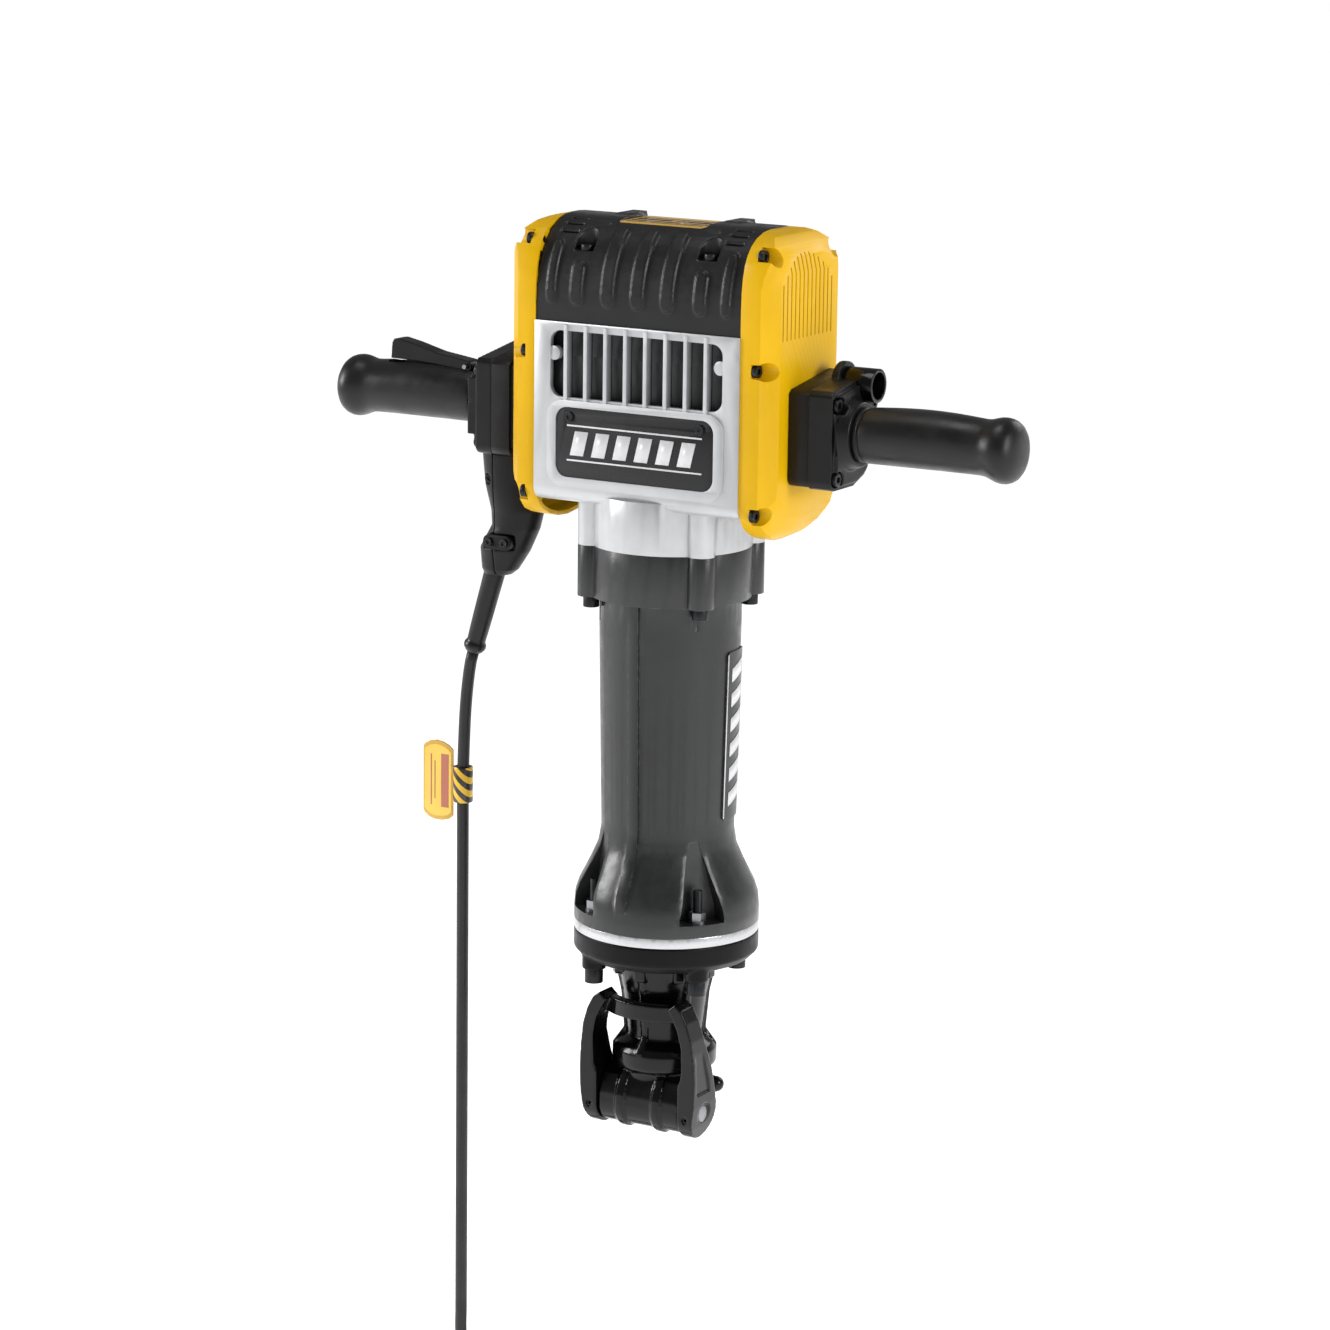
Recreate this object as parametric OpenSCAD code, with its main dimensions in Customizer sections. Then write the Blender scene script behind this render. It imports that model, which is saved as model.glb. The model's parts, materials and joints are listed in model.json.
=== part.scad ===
// Electric demolition hammer, 30 kg class, with a 28 mm hex tool holder.
// Origin at the centre of the nose mouth, +Z up along the tool axis, +X along the right handle.

/* [Hammer] */
// Across-flats size of the hexagonal tool holder
hex_af = 28; // [27:0.5:29]
// Radius of the round entry below the hexagon
mouth_r = 17; // [16.5:0.25:18]
// Height of the top of the motor cover above the nose mouth
top_z = 788; // [784:1:794]
// Half length over both grips
handle_half = 333.5; // [325:0.5:345]

/* [Gear housing] */
// Half width of the aluminium housing
housing_x = 100; // [98:1:102]
// Half depth of the aluminium housing
housing_y = 65; // [64:1:68]
// Underside of the aluminium housing
housing_z0 = 545; // [544:1:547]
// Joint between the aluminium housing and the top cover
housing_z1 = 700; // [698:1:702]
// Number of upright bars in the front grille
grille_bars = 8; // [4:1:9]

/* [Barrel] */
// Outer radius of the barrel casting at its top
barrel_r = 61.6; // [60:0.2:63]
// Radius of the foot flange, the spacer ring and the front flange
flange_r = 81; // [80:0.5:83]
// Radius of the circle through the four flange bolts
bolt_pcd_r = 68; // [67:0.5:69]

/* [Handles] */
// Radius of the rubber grip
grip_r = 24; // [22:0.5:25]
// Radius of the knob at the end of the grip
knob_r = 27; // [26:0.5:29]
// Inner radius of the accessory tube on the right bracket
accessory_r = 11.5; // [11:0.5:12]

/* [Drive] */
// Throw of the crank
throw = 15; // [12:1:15]
// Radius of the hammer cylinder's bore
cylinder_r = 35; // [34:0.5:36]
// Module of the motor gear pair
module_fast = 1.5; // [1.5:0.5:1.5]
// Module of the crank gear pair
module_slow = 2; // [2:0.5:2]

/* [Cord] */
// Diameter of the mains cord
cord_d = 11; // [9:0.5:12]
// Mean radius of the coiled cord
coil_r = 72.5; // [70:0.5:75]

/* [Hidden] */
$fn = 64;

run = 0.05;            // radial clearance of a running fit
wall = 5;              // thickness of the castings
shell = 3.5;           // thickness of the moulded covers

// Colours
c_yellow = [0.90, 0.71, 0.14];
c_black = [0.16, 0.16, 0.17];
c_dark = [0.27, 0.28, 0.29];
c_cast = [0.36, 0.37, 0.38];
c_silver = [0.80, 0.81, 0.82];
c_steel = [0.62, 0.63, 0.65];
c_rubber = [0.20, 0.20, 0.21];
c_gold = [0.80, 0.62, 0.20];
c_copper = [0.72, 0.42, 0.24];

// Heights along the tool axis
flange_z0 = 143;       // chamfered underside of the front flange
flange_z1 = 167;       // joint with the spacer ring
spacer_z1 = 176;       // joint with the barrel foot
collar_z0 = 463;       // underside of the collar at the top of the barrel
collar_z1 = 508;       // joint between the barrel and the silver neck
bush_z0 = 34;          // lower end of the hexagonal bushing
bush_z1 = 150;         // upper end of the hexagonal bushing

// Drive line: every shaft lies along X
motor_z = 735;
idler_z = motor_z - module_fast * (14 + 60) / 2;
crank_z = idler_z - module_slow * (14 + 44) / 2;
rod_len = 125;
pin_z = crank_z - throw;            // crank pin, at bottom dead centre
wrist_z = pin_z - rod_len;          // small end of the connecting rod

// Handles: both lie along X
hand_y = -5;
hand_z = 619;

// Latch pivot
latch_y = -27;
latch_z = 10;

// Top cover: its front half seen from the side, as [y, z]
cover_half = concat([[-63, 700]], [for (t = [0:6:90]) [-7 - 56 * pow(cos(t), 0.93),
             716 + (top_z - 717) * pow(sin(t), 0.93)]]);
cover_outline = concat(cover_half, [for (i = [len(cover_half) - 1:-1:0])
                [-cover_half[i][0], cover_half[i][1]]]);

// Side cover seen from the side, as [y, z]
side_half = [[-64, 722], [-63.3, 738], [-61.5, 750], [-58.5, 760], [-54, 768], [-47.5, 775],
             [-39, 780.5], [-28, 784.5], [-16, top_z - 2], [-8, top_z - 2]];
side_low = [[64, 602], [63, 586], [61, 573], [57.5, 562], [52, 552.5], [44, 543.5], [34, 536],
            [22, 530], [8, 526], [-8, 524], [-24, 525], [-38, 529], [-49, 534.5], [-57, 542],
            [-61.5, 550], [-63.5, 560]];
side_outline = concat(side_half, [for (i = [len(side_half) - 1:-1:0])
               [-side_half[i][0], side_half[i][1]]], side_low);

// Side cover seen from above, as [x, y], and from the front, as [x, z]
side_plan = [[100, -64], [118, -63], [130, -50], [130, 50], [118, 63], [100, 64]];
side_front = [[100, 522], [111, 523.5], [118, 528], [123, 536], [127, 548], [129.3, 566],
              [130.5, 590], [131, 620], [131, 736], [130, 752], [127, 765], [122, 775], [115, 782],
              [107, 785.5], [100, top_z - 2]];
side_screw_z = [550.5, 672.5, 767];
side_screw_y = 58;
function screw_y(z) = z > 700 ? 49.4 : side_screw_y;

// Cord route, from the strain relief down to the ground, as [x, y, z]
cord_r = cord_d / 2;
ground_z = -352;
tie_t = 2;                          // thickness of the strap round the coil
coil_z = ground_z + tie_t;          // lowest turns of the coil
coil_x = -150;
coil_y = coil_r + cord_d - 5;      // the outermost turn meets the cord
coil_h = 4 * cord_d;
coil_top = coil_z + coil_h - cord_r;
cord_route = [[-198.5, -5, 389.5], [-201.3, -5, 379], [-204, -5, 362], [-206.3, -5, 340], [-208, -5, 308],
              [-209, -5, 270], [-209, -5, 200], [-209, -5, 120], [-209, -5, 40], [-209, -5, -40],
              [-209, -5, -120], [-209, -5, -190], [-209, -5, coil_top + 55.5],
              [-205, -5, coil_top + 33.5], [-193, -5, coil_top + 16.5], [-175, -5, coil_top + 4.5],
              [-154, -5, coil_top], [-150, -5, coil_top]];

// Rods and boxes

module xrod(r, x0, x1, y = 0, z = 0) {
  translate([x0, y, z]) rotate([0, 90, 0]) cylinder(r = r, h = x1 - x0);
}

module yrod(r, y0, y1, x = 0, z = 0) {
  translate([x, y1, z]) rotate([90, 0, 0]) cylinder(r = r, h = y1 - y0);
}

module zrod(r, z0, z1, x = 0, y = 0) {
  translate([x, y, z0]) cylinder(r = r, h = z1 - z0);
}

module zcone(ra, rb, z0, z1) {
  translate([0, 0, z0]) cylinder(r1 = ra, r2 = rb, h = z1 - z0);
}

module block(x0, x1, y0, y1, z0, z1) {
  translate([x0, y0, z0]) cube([x1 - x0, y1 - y0, z1 - z0]);
}

// Outlines swept along one axis

module along_x(x0, x1) {
  translate([x0, 0, 0]) rotate([90, 0, 90]) linear_extrude(x1 - x0) children();
}

module along_y(y0, y1) {
  translate([0, y1, 0]) rotate([90, 0, 0]) linear_extrude(y1 - y0) children();
}

module along_z(z0, z1) {
  translate([0, 0, z0]) linear_extrude(z1 - z0) children();
}

module rounded(x0, x1, y0, y1, r) {
  translate([x0 + r, y0]) square([x1 - x0 - 2 * r, y1 - y0]);
  translate([x0, y0 + r]) square([x1 - x0, y1 - y0 - 2 * r]);
  for (x = [x0 + r, x1 - r], y = [y0 + r, y1 - r]) translate([x, y]) circle(r);
}

// Outline moved inwards by d towards the point c
function inset(pts, d, c) = [for (p = pts) p - d * (p - c) / norm(p - c)];

module four_corners(r, a0 = 53) {
  for (a = [0:90:270]) rotate([0, 0, a + a0]) translate([r, 0, 0]) children();
}

// Socket-head cap screw with its head up from z = 0 and its shank down
module cap_screw(head_r, head_h, shank_r, shank) {
  difference() {
    cylinder(r = head_r, h = head_h);
    translate([0, 0, head_h * 0.45]) cylinder(r = head_r * 0.55, h = head_h, $fn = 6);
  }
  translate([0, 0, -shank]) cylinder(r = shank_r, h = shank);
}

// Housings

grille_x = 84;
grille_z0 = 636;
grille_z1 = 693;
bar_pitch = 19.5;
neck_r = 70;
lobe_x = 54;
lobe_y = 43.5;
lobe_r = 12;
barrel_bore = 52;

module neck_outline(grow = 0) {
  circle(neck_r + grow);
  for (x = [-lobe_x, lobe_x], y = [-lobe_y, lobe_y]) translate([x, y]) circle(lobe_r + grow);
}

module gear_housing() {
  color(c_silver) {
    difference() {
      union() {
        along_x(-housing_x, housing_x)
          rounded(-housing_y, housing_y - 2, housing_z0, housing_z1 + 12, 12);
        along_z(collar_z1, housing_z0 + 8) neck_outline();
        // Bezel round the nameplate and panel frame round the grille
        along_y(-housing_y - 2, -housing_y + 2) rounded(-86, 86, 559, 634, 16);
      }
      // Drive chamber, air duct behind the grille and the open top
      block(-94, 94, -47.5, 47.5, 560, housing_z1 + 1);
      block(-94, 94, -housing_y + wall, -50, grille_z0 - 6, housing_z1 + 1);
      block(-94, 94, 53, housing_y - 2 - wall, grille_z0 - 6, housing_z1 + 1);
      block(-housing_x - 1, housing_x + 1, -housing_y - 3, housing_y + 3, housing_z1, housing_z1 + 20);
      along_y(-housing_y - 4, -housing_y + wall + 1)
        rounded(-grille_x, grille_x, grille_z0, grille_z1, 10);
      along_y(-housing_y - 3, -housing_y + 0.5) rounded(-77.2, 77.2, 567.8, 628.2, 11.2);
      zrod(42 + run, collar_z1 - 1, 562);
      // Seats for the outer bearings of the two slow shafts
      xrod(11, 93, housing_x + 1, 0, idler_z);
      xrod(16, 93, housing_x + 1, 0, crank_z);
      for (x = [-64, 64]) yrod(2.5, -housing_y - 1, -52, x, 620);
      for (s = [-1, 1], z = [550.5, 672.5], y = [-side_screw_y, side_screw_y])
        xrod(2.5, min(s * 86, s * 101), max(s * 86, s * 101), y, z);
      for (x = [-lobe_x, lobe_x], y = [-lobe_y, lobe_y]) zrod(5.1, collar_z1 - 1, 552, x, y);
    }
    for (i = [0:grille_bars - 1]) translate([(i - (grille_bars - 1) / 2) * bar_pitch, 0, 0])
      block(-1.7, 1.7, -housing_y - 1.5, -housing_y + wall + 3, grille_z0 - 3, grille_z1 + 5);
    for (x = [-81, 81]) yrod(6, -housing_y + 1, -48, x, 673);
  }
}

module barrel_housing() {
  flare = [[0, spacer_z1], [flange_r, spacer_z1], [flange_r, 187], [flange_r - 1, 199], [77, 208],
           [67, 228], [60.5, 243], [58, 258], [barrel_r, collar_z0 - 23], [barrel_r, collar_z0 + 5],
           [0, collar_z0 + 5]];
  color(c_cast) difference() {
    union() {
      rotate_extrude() polygon(flare);
      along_z(collar_z0, collar_z1) neck_outline();
      // Raised rib down the front
      intersection() {
        union() {
          along_x(-5, 5) polygon([[0, 193], [-flange_r, 190], [-79, 209], [-69, 229], [-62.5, 245],
                                  [-60.5, 262], [-barrel_r - 2.5, collar_z0 - 20],
                                  [-barrel_r - 2.5, collar_z0 + 2], [0, collar_z0 + 2]]);
        }
        zrod(flange_r - 0.5, 190, collar_z0 + 2);
      }
    }
    zrod(barrel_bore, spacer_z1 + 30, collar_z1 + 1);
    zrod(44.05, spacer_z1 - 1, spacer_z1 + 31);
    // Pockets for the nuts of the flange bolts
    four_corners(0) along_x(58, 90)
      polygon([[-21, 187], [21, 187], [21, 193], [4.5, 255], [-4.5, 255], [-21, 193]]);
    four_corners(bolt_pcd_r) zrod(4.1, spacer_z1 - 1, 190);
    for (x = [-lobe_x, lobe_x], y = [-lobe_y, lobe_y]) zrod(5.1, collar_z0 - 1, collar_z1 + 1, x, y);
    // Clearance for the heads of the collar bolts
    for (x = [-lobe_x, lobe_x], y = [-lobe_y, lobe_y]) zrod(8.6, collar_z0 - 22, collar_z0, x, y);
  }
}

module spacer_ring() {
  color(c_silver) difference() {
    zrod(flange_r, flange_z1, spacer_z1);
    zrod(44.05, flange_z1 - 1, spacer_z1 + 1);
    four_corners(bolt_pcd_r) zrod(4.1, flange_z1 - 1, spacer_z1 + 1);
  }
}

module front_flange() {
  color(c_dark) difference() {
    union() {
      zcone(flange_r - 7, flange_r, flange_z0, flange_z0 + 7);
      zrod(flange_r, flange_z0 + 7, flange_z1);
      four_corners(bolt_pcd_r) zrod(10.5, flange_z0 - 9, flange_z0 + 8);
    }
    zrod(46, flange_z0 - 3, flange_z0 + 12);
    zrod(44.05, flange_z0, flange_z1 + 1);
    four_corners(bolt_pcd_r) zrod(4.1, flange_z0 - 10, flange_z1 + 1);
  }
}

// Front of the hinge block seen from the side, as [y, z]
hinge_front = [[0, 0], [0, 44], [-20, 44], [-29, 41.5], [-37, 36], [-42.5, 29], [-45.6, 20],
               [-46.5, 10], [-30, 2]];

module nose_housing() {
  body = [[0, 0], [36, 0], [39, 3], [39, 41], [45, 44], [46, 47], [46, 58], [43, 63], [33.5, 70],
          [33.5, 76], [37, 108], [44, 142], [46, flange_z0 + 3], [46, flange_z0 + 12], [0, flange_z0 + 12]];
  color(c_dark) difference() {
    union() {
      rotate_extrude() polygon(body);
      // Hinge block with a rounded front, and two curved ribs over it
      xrod(19.5, -40, 40, latch_y, latch_z);
      along_x(-40, 40) polygon(hinge_front);
      for (x = [-18, 18]) {
        xrod(22, x - 4, x + 4, latch_y, latch_z);
        along_x(x - 4, x + 4) polygon(inset(hinge_front, -2.5, [-20, 12]));
      }
      // Stop lugs beside the mouth
      for (s = [-1, 1]) hull() {
        translate([s * 36, 12, 24]) sphere(9, $fn = 28);
        translate([s * 45, 14, 25]) sphere(7, $fn = 28);
      }
      // Stiffening ribs up the cone
      for (a = [-90, -30, 30, 90, 150, 210]) rotate([0, 0, a])
        along_y(-3, 3) polygon([[30, 60], [46, 60], [36, 74], [39, 108], [46, 140], [30, 140]]);
      for (a = [0:45:315]) rotate([0, 0, a]) block(38, 47, -5, 5, 126, 140);
    }
    zrod(mouth_r, -12, bush_z0 + 1);
    zrod(mouth_r + 6, -14, 0);
    zrod(24.02, bush_z0, flange_z0 + 13);
    xrod(7.05, -41, 41, latch_y, latch_z);
    // Flat on each side, so that the latch arms pass
    for (s = [-1, 1]) block(min(s * 40.2, s * 70), max(s * 40.2, s * 70), -60, 0.5, -20, 44);
  }
}

module tool_bushing() {
  color(c_steel) difference() {
    zrod(24, bush_z0, bush_z1);
    zrod(hex_af / sqrt(3), bush_z0 - 1, bush_z1 + 1, $fn = 6);
  }
}

// Tool latch, parked upwards

module latch_side() {
  intersection() {
    along_y(-100, 10) polygon([[41, -14], [51, -14], [54.5, 0], [57.5, 20], [58.2, 41], [57.5, 58],
                               [54.8, 80], [50, 96], [44.5, 107], [38, 112], [31, 106], [36, 98],
                               [41, 88], [44.5, 72], [44.5, 56], [44, 46], [41, 38]]);
    union() {
      xrod(22, 30, 70, latch_y, latch_z);
      along_x(30, 70) polygon([[-49, 12], [-6, 14], [-16, 48], [-26, 78], [-28, 98], [-28, 114],
                               [-50, 114], [-51, 92], [-49.5, 60]]);
    }
  }
}

module latch() {
  color(c_black) difference() {
    union() {
      latch_side();
      mirror([1, 0, 0]) latch_side();
      // Band across the front, open at the back
      difference() {
        translate([0, 10, 0]) zrod(61, 92, 107);
        translate([0, 10, 0]) zrod(51, 91, 108);
        block(-70, 70, -30, 80, 90, 110);
      }
    }
    xrod(7, -70, 70, latch_y, latch_z);
    for (s = [-1, 1]) xrod(10, min(s * 55, s * 70), max(s * 55, s * 70), latch_y, latch_z);
    for (x = [-roll_x, roll_x]) yrod(3, -60, latch_y, x, roll_z);
    // Channel down the outside of each arm
    for (s = [-1, 1]) along_x(min(s * 56.3, s * 66), max(s * 56.3, s * 66))
      polygon([[-43, 30], [-20, 30], [-32, 70], [-45, 70]]);
  }
}

roll_x = 48.5;
roll_z = 8;

module latch_pin() {
  color(c_steel) difference() {
    xrod(7, -54.8, 54.8, latch_y, latch_z);
    for (x = [-roll_x, roll_x]) yrod(3, -60, latch_y, x, roll_z);
  }
}

module latch_roll_pins() {
  color(c_steel) for (x = [-roll_x, roll_x]) difference() {
    yrod(3, -47, latch_y, x, roll_z);
    yrod(1.6, -49, latch_y - 3, x, roll_z);
  }
}

// Covers

pocket_x = 60;
pocket_y = 45.5;
pocket_z = 760;

module long_rib(x, z0, z1, w) {
  along_y(-80, 80) rounded(x - w / 2, x + w / 2, z0, z1, w / 2 - 0.01);
}

module top_cover() {
  label_top = top_z - 1;
  color(c_dark) difference() {
    union() {
      along_x(-housing_x, housing_x) polygon(cover_outline);
      intersection() {
        along_x(-90, 90) polygon(inset(cover_outline, -2.8, [0, 690]));
        union() {
          for (x = [-29.5, -0.5, 28.5]) long_rib(x, 716, 785, 11.5);
          for (x = [-pocket_x, pocket_x]) long_rib(x, 716, 752, 11);
          for (x = [-85, 85]) long_rib(x, 716, 768, 8);
        }
        union() {
          block(-95, 95, -80, -38, 700, 790);
          block(-95, 95, 38, 80, 700, 790);
        }
      }
      // Two low humps beside the label
      for (x = [-53, 53]) along_x(x - 7, x + 7)
        polygon([[-34, 778], [-30, 783], [4, top_z], [30, top_z], [34, 778]]);
    }
    difference() {
      along_x(-housing_x + shell, housing_x - shell)
        polygon(concat([[-58, 699]], inset(cover_outline, shell, [0, 715]), [[58, 699]]));
      for (x = [-pocket_x, pocket_x], y = [-pocket_y, pocket_y]) zrod(11.5, pocket_z - 2, 790, x, y);
    }
    for (x = [-pocket_x, pocket_x], s = [-1, 1]) {
      zrod(9.5, pocket_z, 800, x, s * pocket_y);
      block(x - 9.5, x + 9.5, min(s * pocket_y, s * 70), max(s * pocket_y, s * 70), pocket_z, 800);
      zrod(3.1, pocket_z - 10, 800, x, s * pocket_y);
    }
    along_z(label_top - 4, label_top + 5) rounded(-42, 42, -26, 26, 4);
    for (s = [-1, 1], y = [-40, -32, -24, 24, 32, 40])
      block(s * 80 - 9, s * 80 + 9, y - 1.6, y + 1.6, 740, 800);
    // Openings at the ends for the motor shaft and the air
    for (s = [-1, 1]) xrod(42, min(s * 90, s * 105), max(s * 90, s * 105), 0, motor_z);
  }
}

module top_cover_screws() {
  color(c_black) for (x = [-pocket_x, pocket_x], y = [-pocket_y, pocket_y])
    translate([x, y, pocket_z]) cap_screw(5.5, 5, 3, 14);
}

module top_label() {
  color(c_gold) along_z(top_z - 5, top_z - 3.6) rounded(-41.5, 41.5, -25.5, 25.5, 3.5);
}

// Wedge that slants the lower front corner of a side cover, moved inwards by d
module corner_wedge(d) {
  translate([-0.858 * d, 0.416 * d, 0.3 * d]) polyhedron(
    points = [[138, -78.7, 628.3], [96, -78.7, 508.3], [138, 9.3, 506.3], [160, -100, 480]],
    faces = [[0, 1, 2], [0, 3, 1], [1, 3, 2], [2, 3, 0]]);
}

module side_solid(d) {
  difference() {
    side_block(d);
    corner_wedge(d);
  }
}

module side_block(d) {
  intersection() {
    along_x(90, 140 - d) polygon(inset(side_outline, d, [0, 660]));
    along_z(500, 800) polygon([for (p = side_plan) [p[0] - (p[0] > 101 ? d : 10 * sign(d)),
                               p[1] - sign(p[1]) * d]]);
    along_y(-70, 70) polygon([for (p = side_front) [p[0] - (p[0] > 101 ? d : 10 * sign(d)),
                              p[1] - sign(p[1] - 660) * d]]);
  }
}

// One side cover, drawn for the right side
module side_cover() {
  color(c_yellow) difference() {
    side_solid(0);
    difference() {
      side_solid(shell);
      for (z = side_screw_z, s = [-1, 1]) xrod(10.5, 90, 131, s * screw_y(z), z);
    }
    for (z = side_screw_z, s = [-1, 1]) {
      xrod(8, 110, 140, s * screw_y(z), z);
      xrod(3.1, 90, 120, s * screw_y(z), z);
    }
    // Cooling slots under an arch
    for (i = [-6:6])
      block(125, 140, i * 7 - 4.3, i * 7 - 2.7, 697, 768 - 0.0225 * i * i * 49 * 0.6);
    // Cable and bolt window behind the bracket
    xrod(14, 120, 140, hand_y, hand_z);
  }
}

module side_cover_right() { side_cover(); }

module side_cover_left() { mirror([1, 0, 0]) side_cover(); }

module side_cover_screws() {
  color(c_black) for (s = [0, 1], z = side_screw_z, t = [-1, 1]) mirror([s, 0, 0])
    translate([110, t * screw_y(z), z]) rotate([0, 90, 0]) cap_screw(5.5, 5, z > 700 ? 3 : 2.5, z > 700 ? 9 : 22);
}

module nameplate() {
  color(c_black) difference() {
    along_y(-housing_y - 1.2, -housing_y + 0.5) rounded(-77, 77, 568, 628, 11);
    for (x = [-64, 64]) yrod(2.6, -80, -50, x, 620);
  }
}

module nameplate_screws() {
  color(c_black) for (x = [-64, 64]) translate([x, -housing_y - 1.2, 620]) rotate([90, 0, 0])
    cap_screw(4, 1.8, 2.5, 12);
}

module barrel_badge() {
  color(c_black) difference() {
    intersection() {
      zcone(59.5, barrel_r + 1.5, 258, 440);
      along_x(45, 80) rounded(-8, 30, 270, 419, 5);
    }
    zcone(58.05, barrel_r + 0.05, 258, 440);
  }
}

// Right bracket and handle

bracket_y0 = -35;
bracket_y1 = 44;
bracket_z0 = 573;
bracket_z1 = 667;

module bracket_outline(d) {
  difference() {
    rounded(bracket_y0 + d, bracket_y1 - d, bracket_z0 + d, bracket_z1 - d, 8);
    // The top slopes up towards the back, and the lower back corner is cut away
    polygon([[bracket_y0 - 1, 652 - d], [bracket_y0 + 4 + d, 657 - d], [bracket_y1 + 1, 668 - d],
             [bracket_y1 + 1, 680], [bracket_y0 - 1, 680]]);
    polygon([[bracket_y1 + 1, 606], [bracket_y1 + 1, 560], [0, 560], [0, bracket_z0 - 2 + d],
             [25 - d, 580 + d], [bracket_y1 - d, 600 + d]]);
  }
}

// Screw places on a bracket's outer face, as [y, z]
bracket_screw_yz = [[-27, 645], [-27, 583], [36, 640], [26, 596]];

module bracket_body(x0, x1, x2) {
  along_x(x0, x1) bracket_outline(0);
  along_x(x1 - 0.01, x2) bracket_outline(4);
}

module bracket_right_base() {
  color(c_black) difference() {
    along_x(130.3, 149) bracket_outline(1);
    along_x(134, 150) rounded(-24, 14, 592, 640, 6);
    xrod(14.05, 120, 150, hand_y, hand_z);
    for (p = bracket_screw_yz) xrod(3.1, 134, 150, p[0], p[1]);
  }
}

module bracket_right_cover() {
  color(c_black) difference() {
    union() {
      bracket_body(149, 172, 176);
      translate([176, hand_y, hand_z]) rotate([0, 90, 0]) cylinder(r1 = 31, r2 = 27, h = 10);
      xrod(18.5, 149.3, 156, 22, 657);
    }
    xrod(14.05, 148, 190, hand_y, hand_z);
    for (p = bracket_screw_yz) {
      xrod(7, 169, 180, p[0], p[1]);
      xrod(3.1, 148, 180, p[0], p[1]);
    }
    xrod(14.55, 157, 180, 22, 657);
    xrod(24.3, 185.5, 190, hand_y, hand_z);
  }
}

module bracket_screw_set(x_head, s, reach) {
  for (p = bracket_screw_yz) translate([s * x_head, p[0], p[1]]) rotate([0, s * 90, 0])
    cap_screw(5.5, 6, 3, reach);
}

module handle_core_right() {
  color(c_steel) difference() {
    xrod(14, 134, handle_half - 8, hand_y, hand_z);
    xrod(11, 138, handle_half - 12, hand_y, hand_z);
  }
}

// Outline of a grip as [distance along it, radius], from the bracket to the knob
grip_start = 186;
function swell(t) = grip_r - 0.4 + 1.3 * sin(180 * t);

module grip(s) {
  len_g = handle_half - grip_start;
  neck = len_g - 38;
  body = [for (i = [0:10]) [neck * i / 10, swell(i / 10)]];
  flat = knob_r * 0.62;
  knob = [for (a = [-45:13.5:90]) [len_g - flat + flat * sin(a),
                                 knob_r * (0.18 + 0.82 * pow(cos(a * 0.93), 0.55))]];
  color(c_rubber) translate([s * grip_start, hand_y, hand_z]) rotate([0, s * 90, 0]) difference() {
    rotate_extrude() polygon(concat([[0, 0]], [for (p = concat(body, knob)) [p[1], p[0]]], [[0, len_g]]));
    translate([0, 0, -1]) cylinder(r = 14.02, h = len_g - 6);
  }
}

module grip_right() { grip(1); }

module accessory_tube() {
  color(c_black) difference() {
    xrod(14.5, 157, 185.5, 22, 657);
    xrod(accessory_r, 162, 189, 22, 657);
  }
}

// Left bracket, switch and handle

module bracket_left_base() {
  color(c_black) mirror([1, 0, 0]) difference() {
    along_x(130.3, 144.2) bracket_outline(2);
    xrod(14.05, 120, 145, hand_y, hand_z);
    for (p = bracket_screw_yz) xrod(3.1, 134, 150, p[0], p[1]);
  }
}

module bracket_left_body() {
  color(c_black) mirror([1, 0, 0]) difference() {
    along_x(144.2, 162.3) bracket_outline(0);
    along_x(144, 163) rounded(-24, 14, 596, 640, 6);
    for (p = bracket_screw_yz) xrod(3.1, 144, 163, p[0], p[1]);
    along_z(570, 597) rounded(143.5, 163, -14, 4, 4);
  }
}

module bracket_left_cover() {
  color(c_black) mirror([1, 0, 0]) difference() {
    union() {
      bracket_body(162.3, 179, 183);
      along_x(182, 189.5) rounded(-31, 21, 580, 650, 10);
    }
    xrod(25.6, 185.6, 191, hand_y, hand_z);
    xrod(14.05, 162, 190, hand_y, hand_z);
    along_x(162, 172) rounded(-24, 14, 596, 640, 6);
    for (p = bracket_screw_yz) {
      xrod(7, 176, 190, p[0], p[1]);
      xrod(3.1, 162, 190, p[0], p[1]);
    }
  }
}

module bracket_screws() {
  color(c_black) {
    bracket_screw_set(169, 1, 34);
    bracket_screw_set(176, -1, 41);
  }
}

module handle_core_left() {
  color(c_steel) mirror([1, 0, 0]) difference() {
    xrod(14, 164, handle_half - 8, hand_y, hand_z);
    xrod(11, 163, 192, hand_y, hand_z);
    xrod(11, 266, handle_half - 12, hand_y, hand_z);
    // Pocket for the switch
    block(183, 255.5, hand_y - 7.1, hand_y + 7.1, hand_z - 2, hand_z + 20);
  }
}

trigger_x = -202;
trigger_z = 645;
plunger_x = -229;

module grip_left() {
  difference() {
    grip(-1);
    // Slot that the trigger sinks into
    color(c_rubber) block(-285, -193, hand_y - 9, hand_y + 9, hand_z + 13, 660);
  }
}

module trigger() {
  color(c_black) difference() {
    along_y(hand_y - 8, hand_y + 8) union() {
      polygon([[trigger_x + 4.5, trigger_z - 2], [trigger_x + 1, trigger_z + 5], [-233, 654.5], [-258, 661],
               [-273, 664], [-278, 663.4], [-280, 660], [-281, 646], [-255, 645.5], [-233, 644],
               [trigger_x, trigger_z - 5]]);
      translate([trigger_x, trigger_z]) circle(5);
    }
    yrod(2.05, hand_y - 9, hand_y + 9, trigger_x, trigger_z);
    // The trigger is a shell, open underneath
    along_y(hand_y - 6, hand_y + 6) polygon([[-211, 640], [-211, 646.5], [-233, 651], [-258, 657.7],
                                             [-273, 660.5], [-277, 659], [-278, 640]]);
  }
}

module trigger_pin() { color(c_steel) yrod(2, hand_y - 12, hand_y + 12, trigger_x, trigger_z); }

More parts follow.
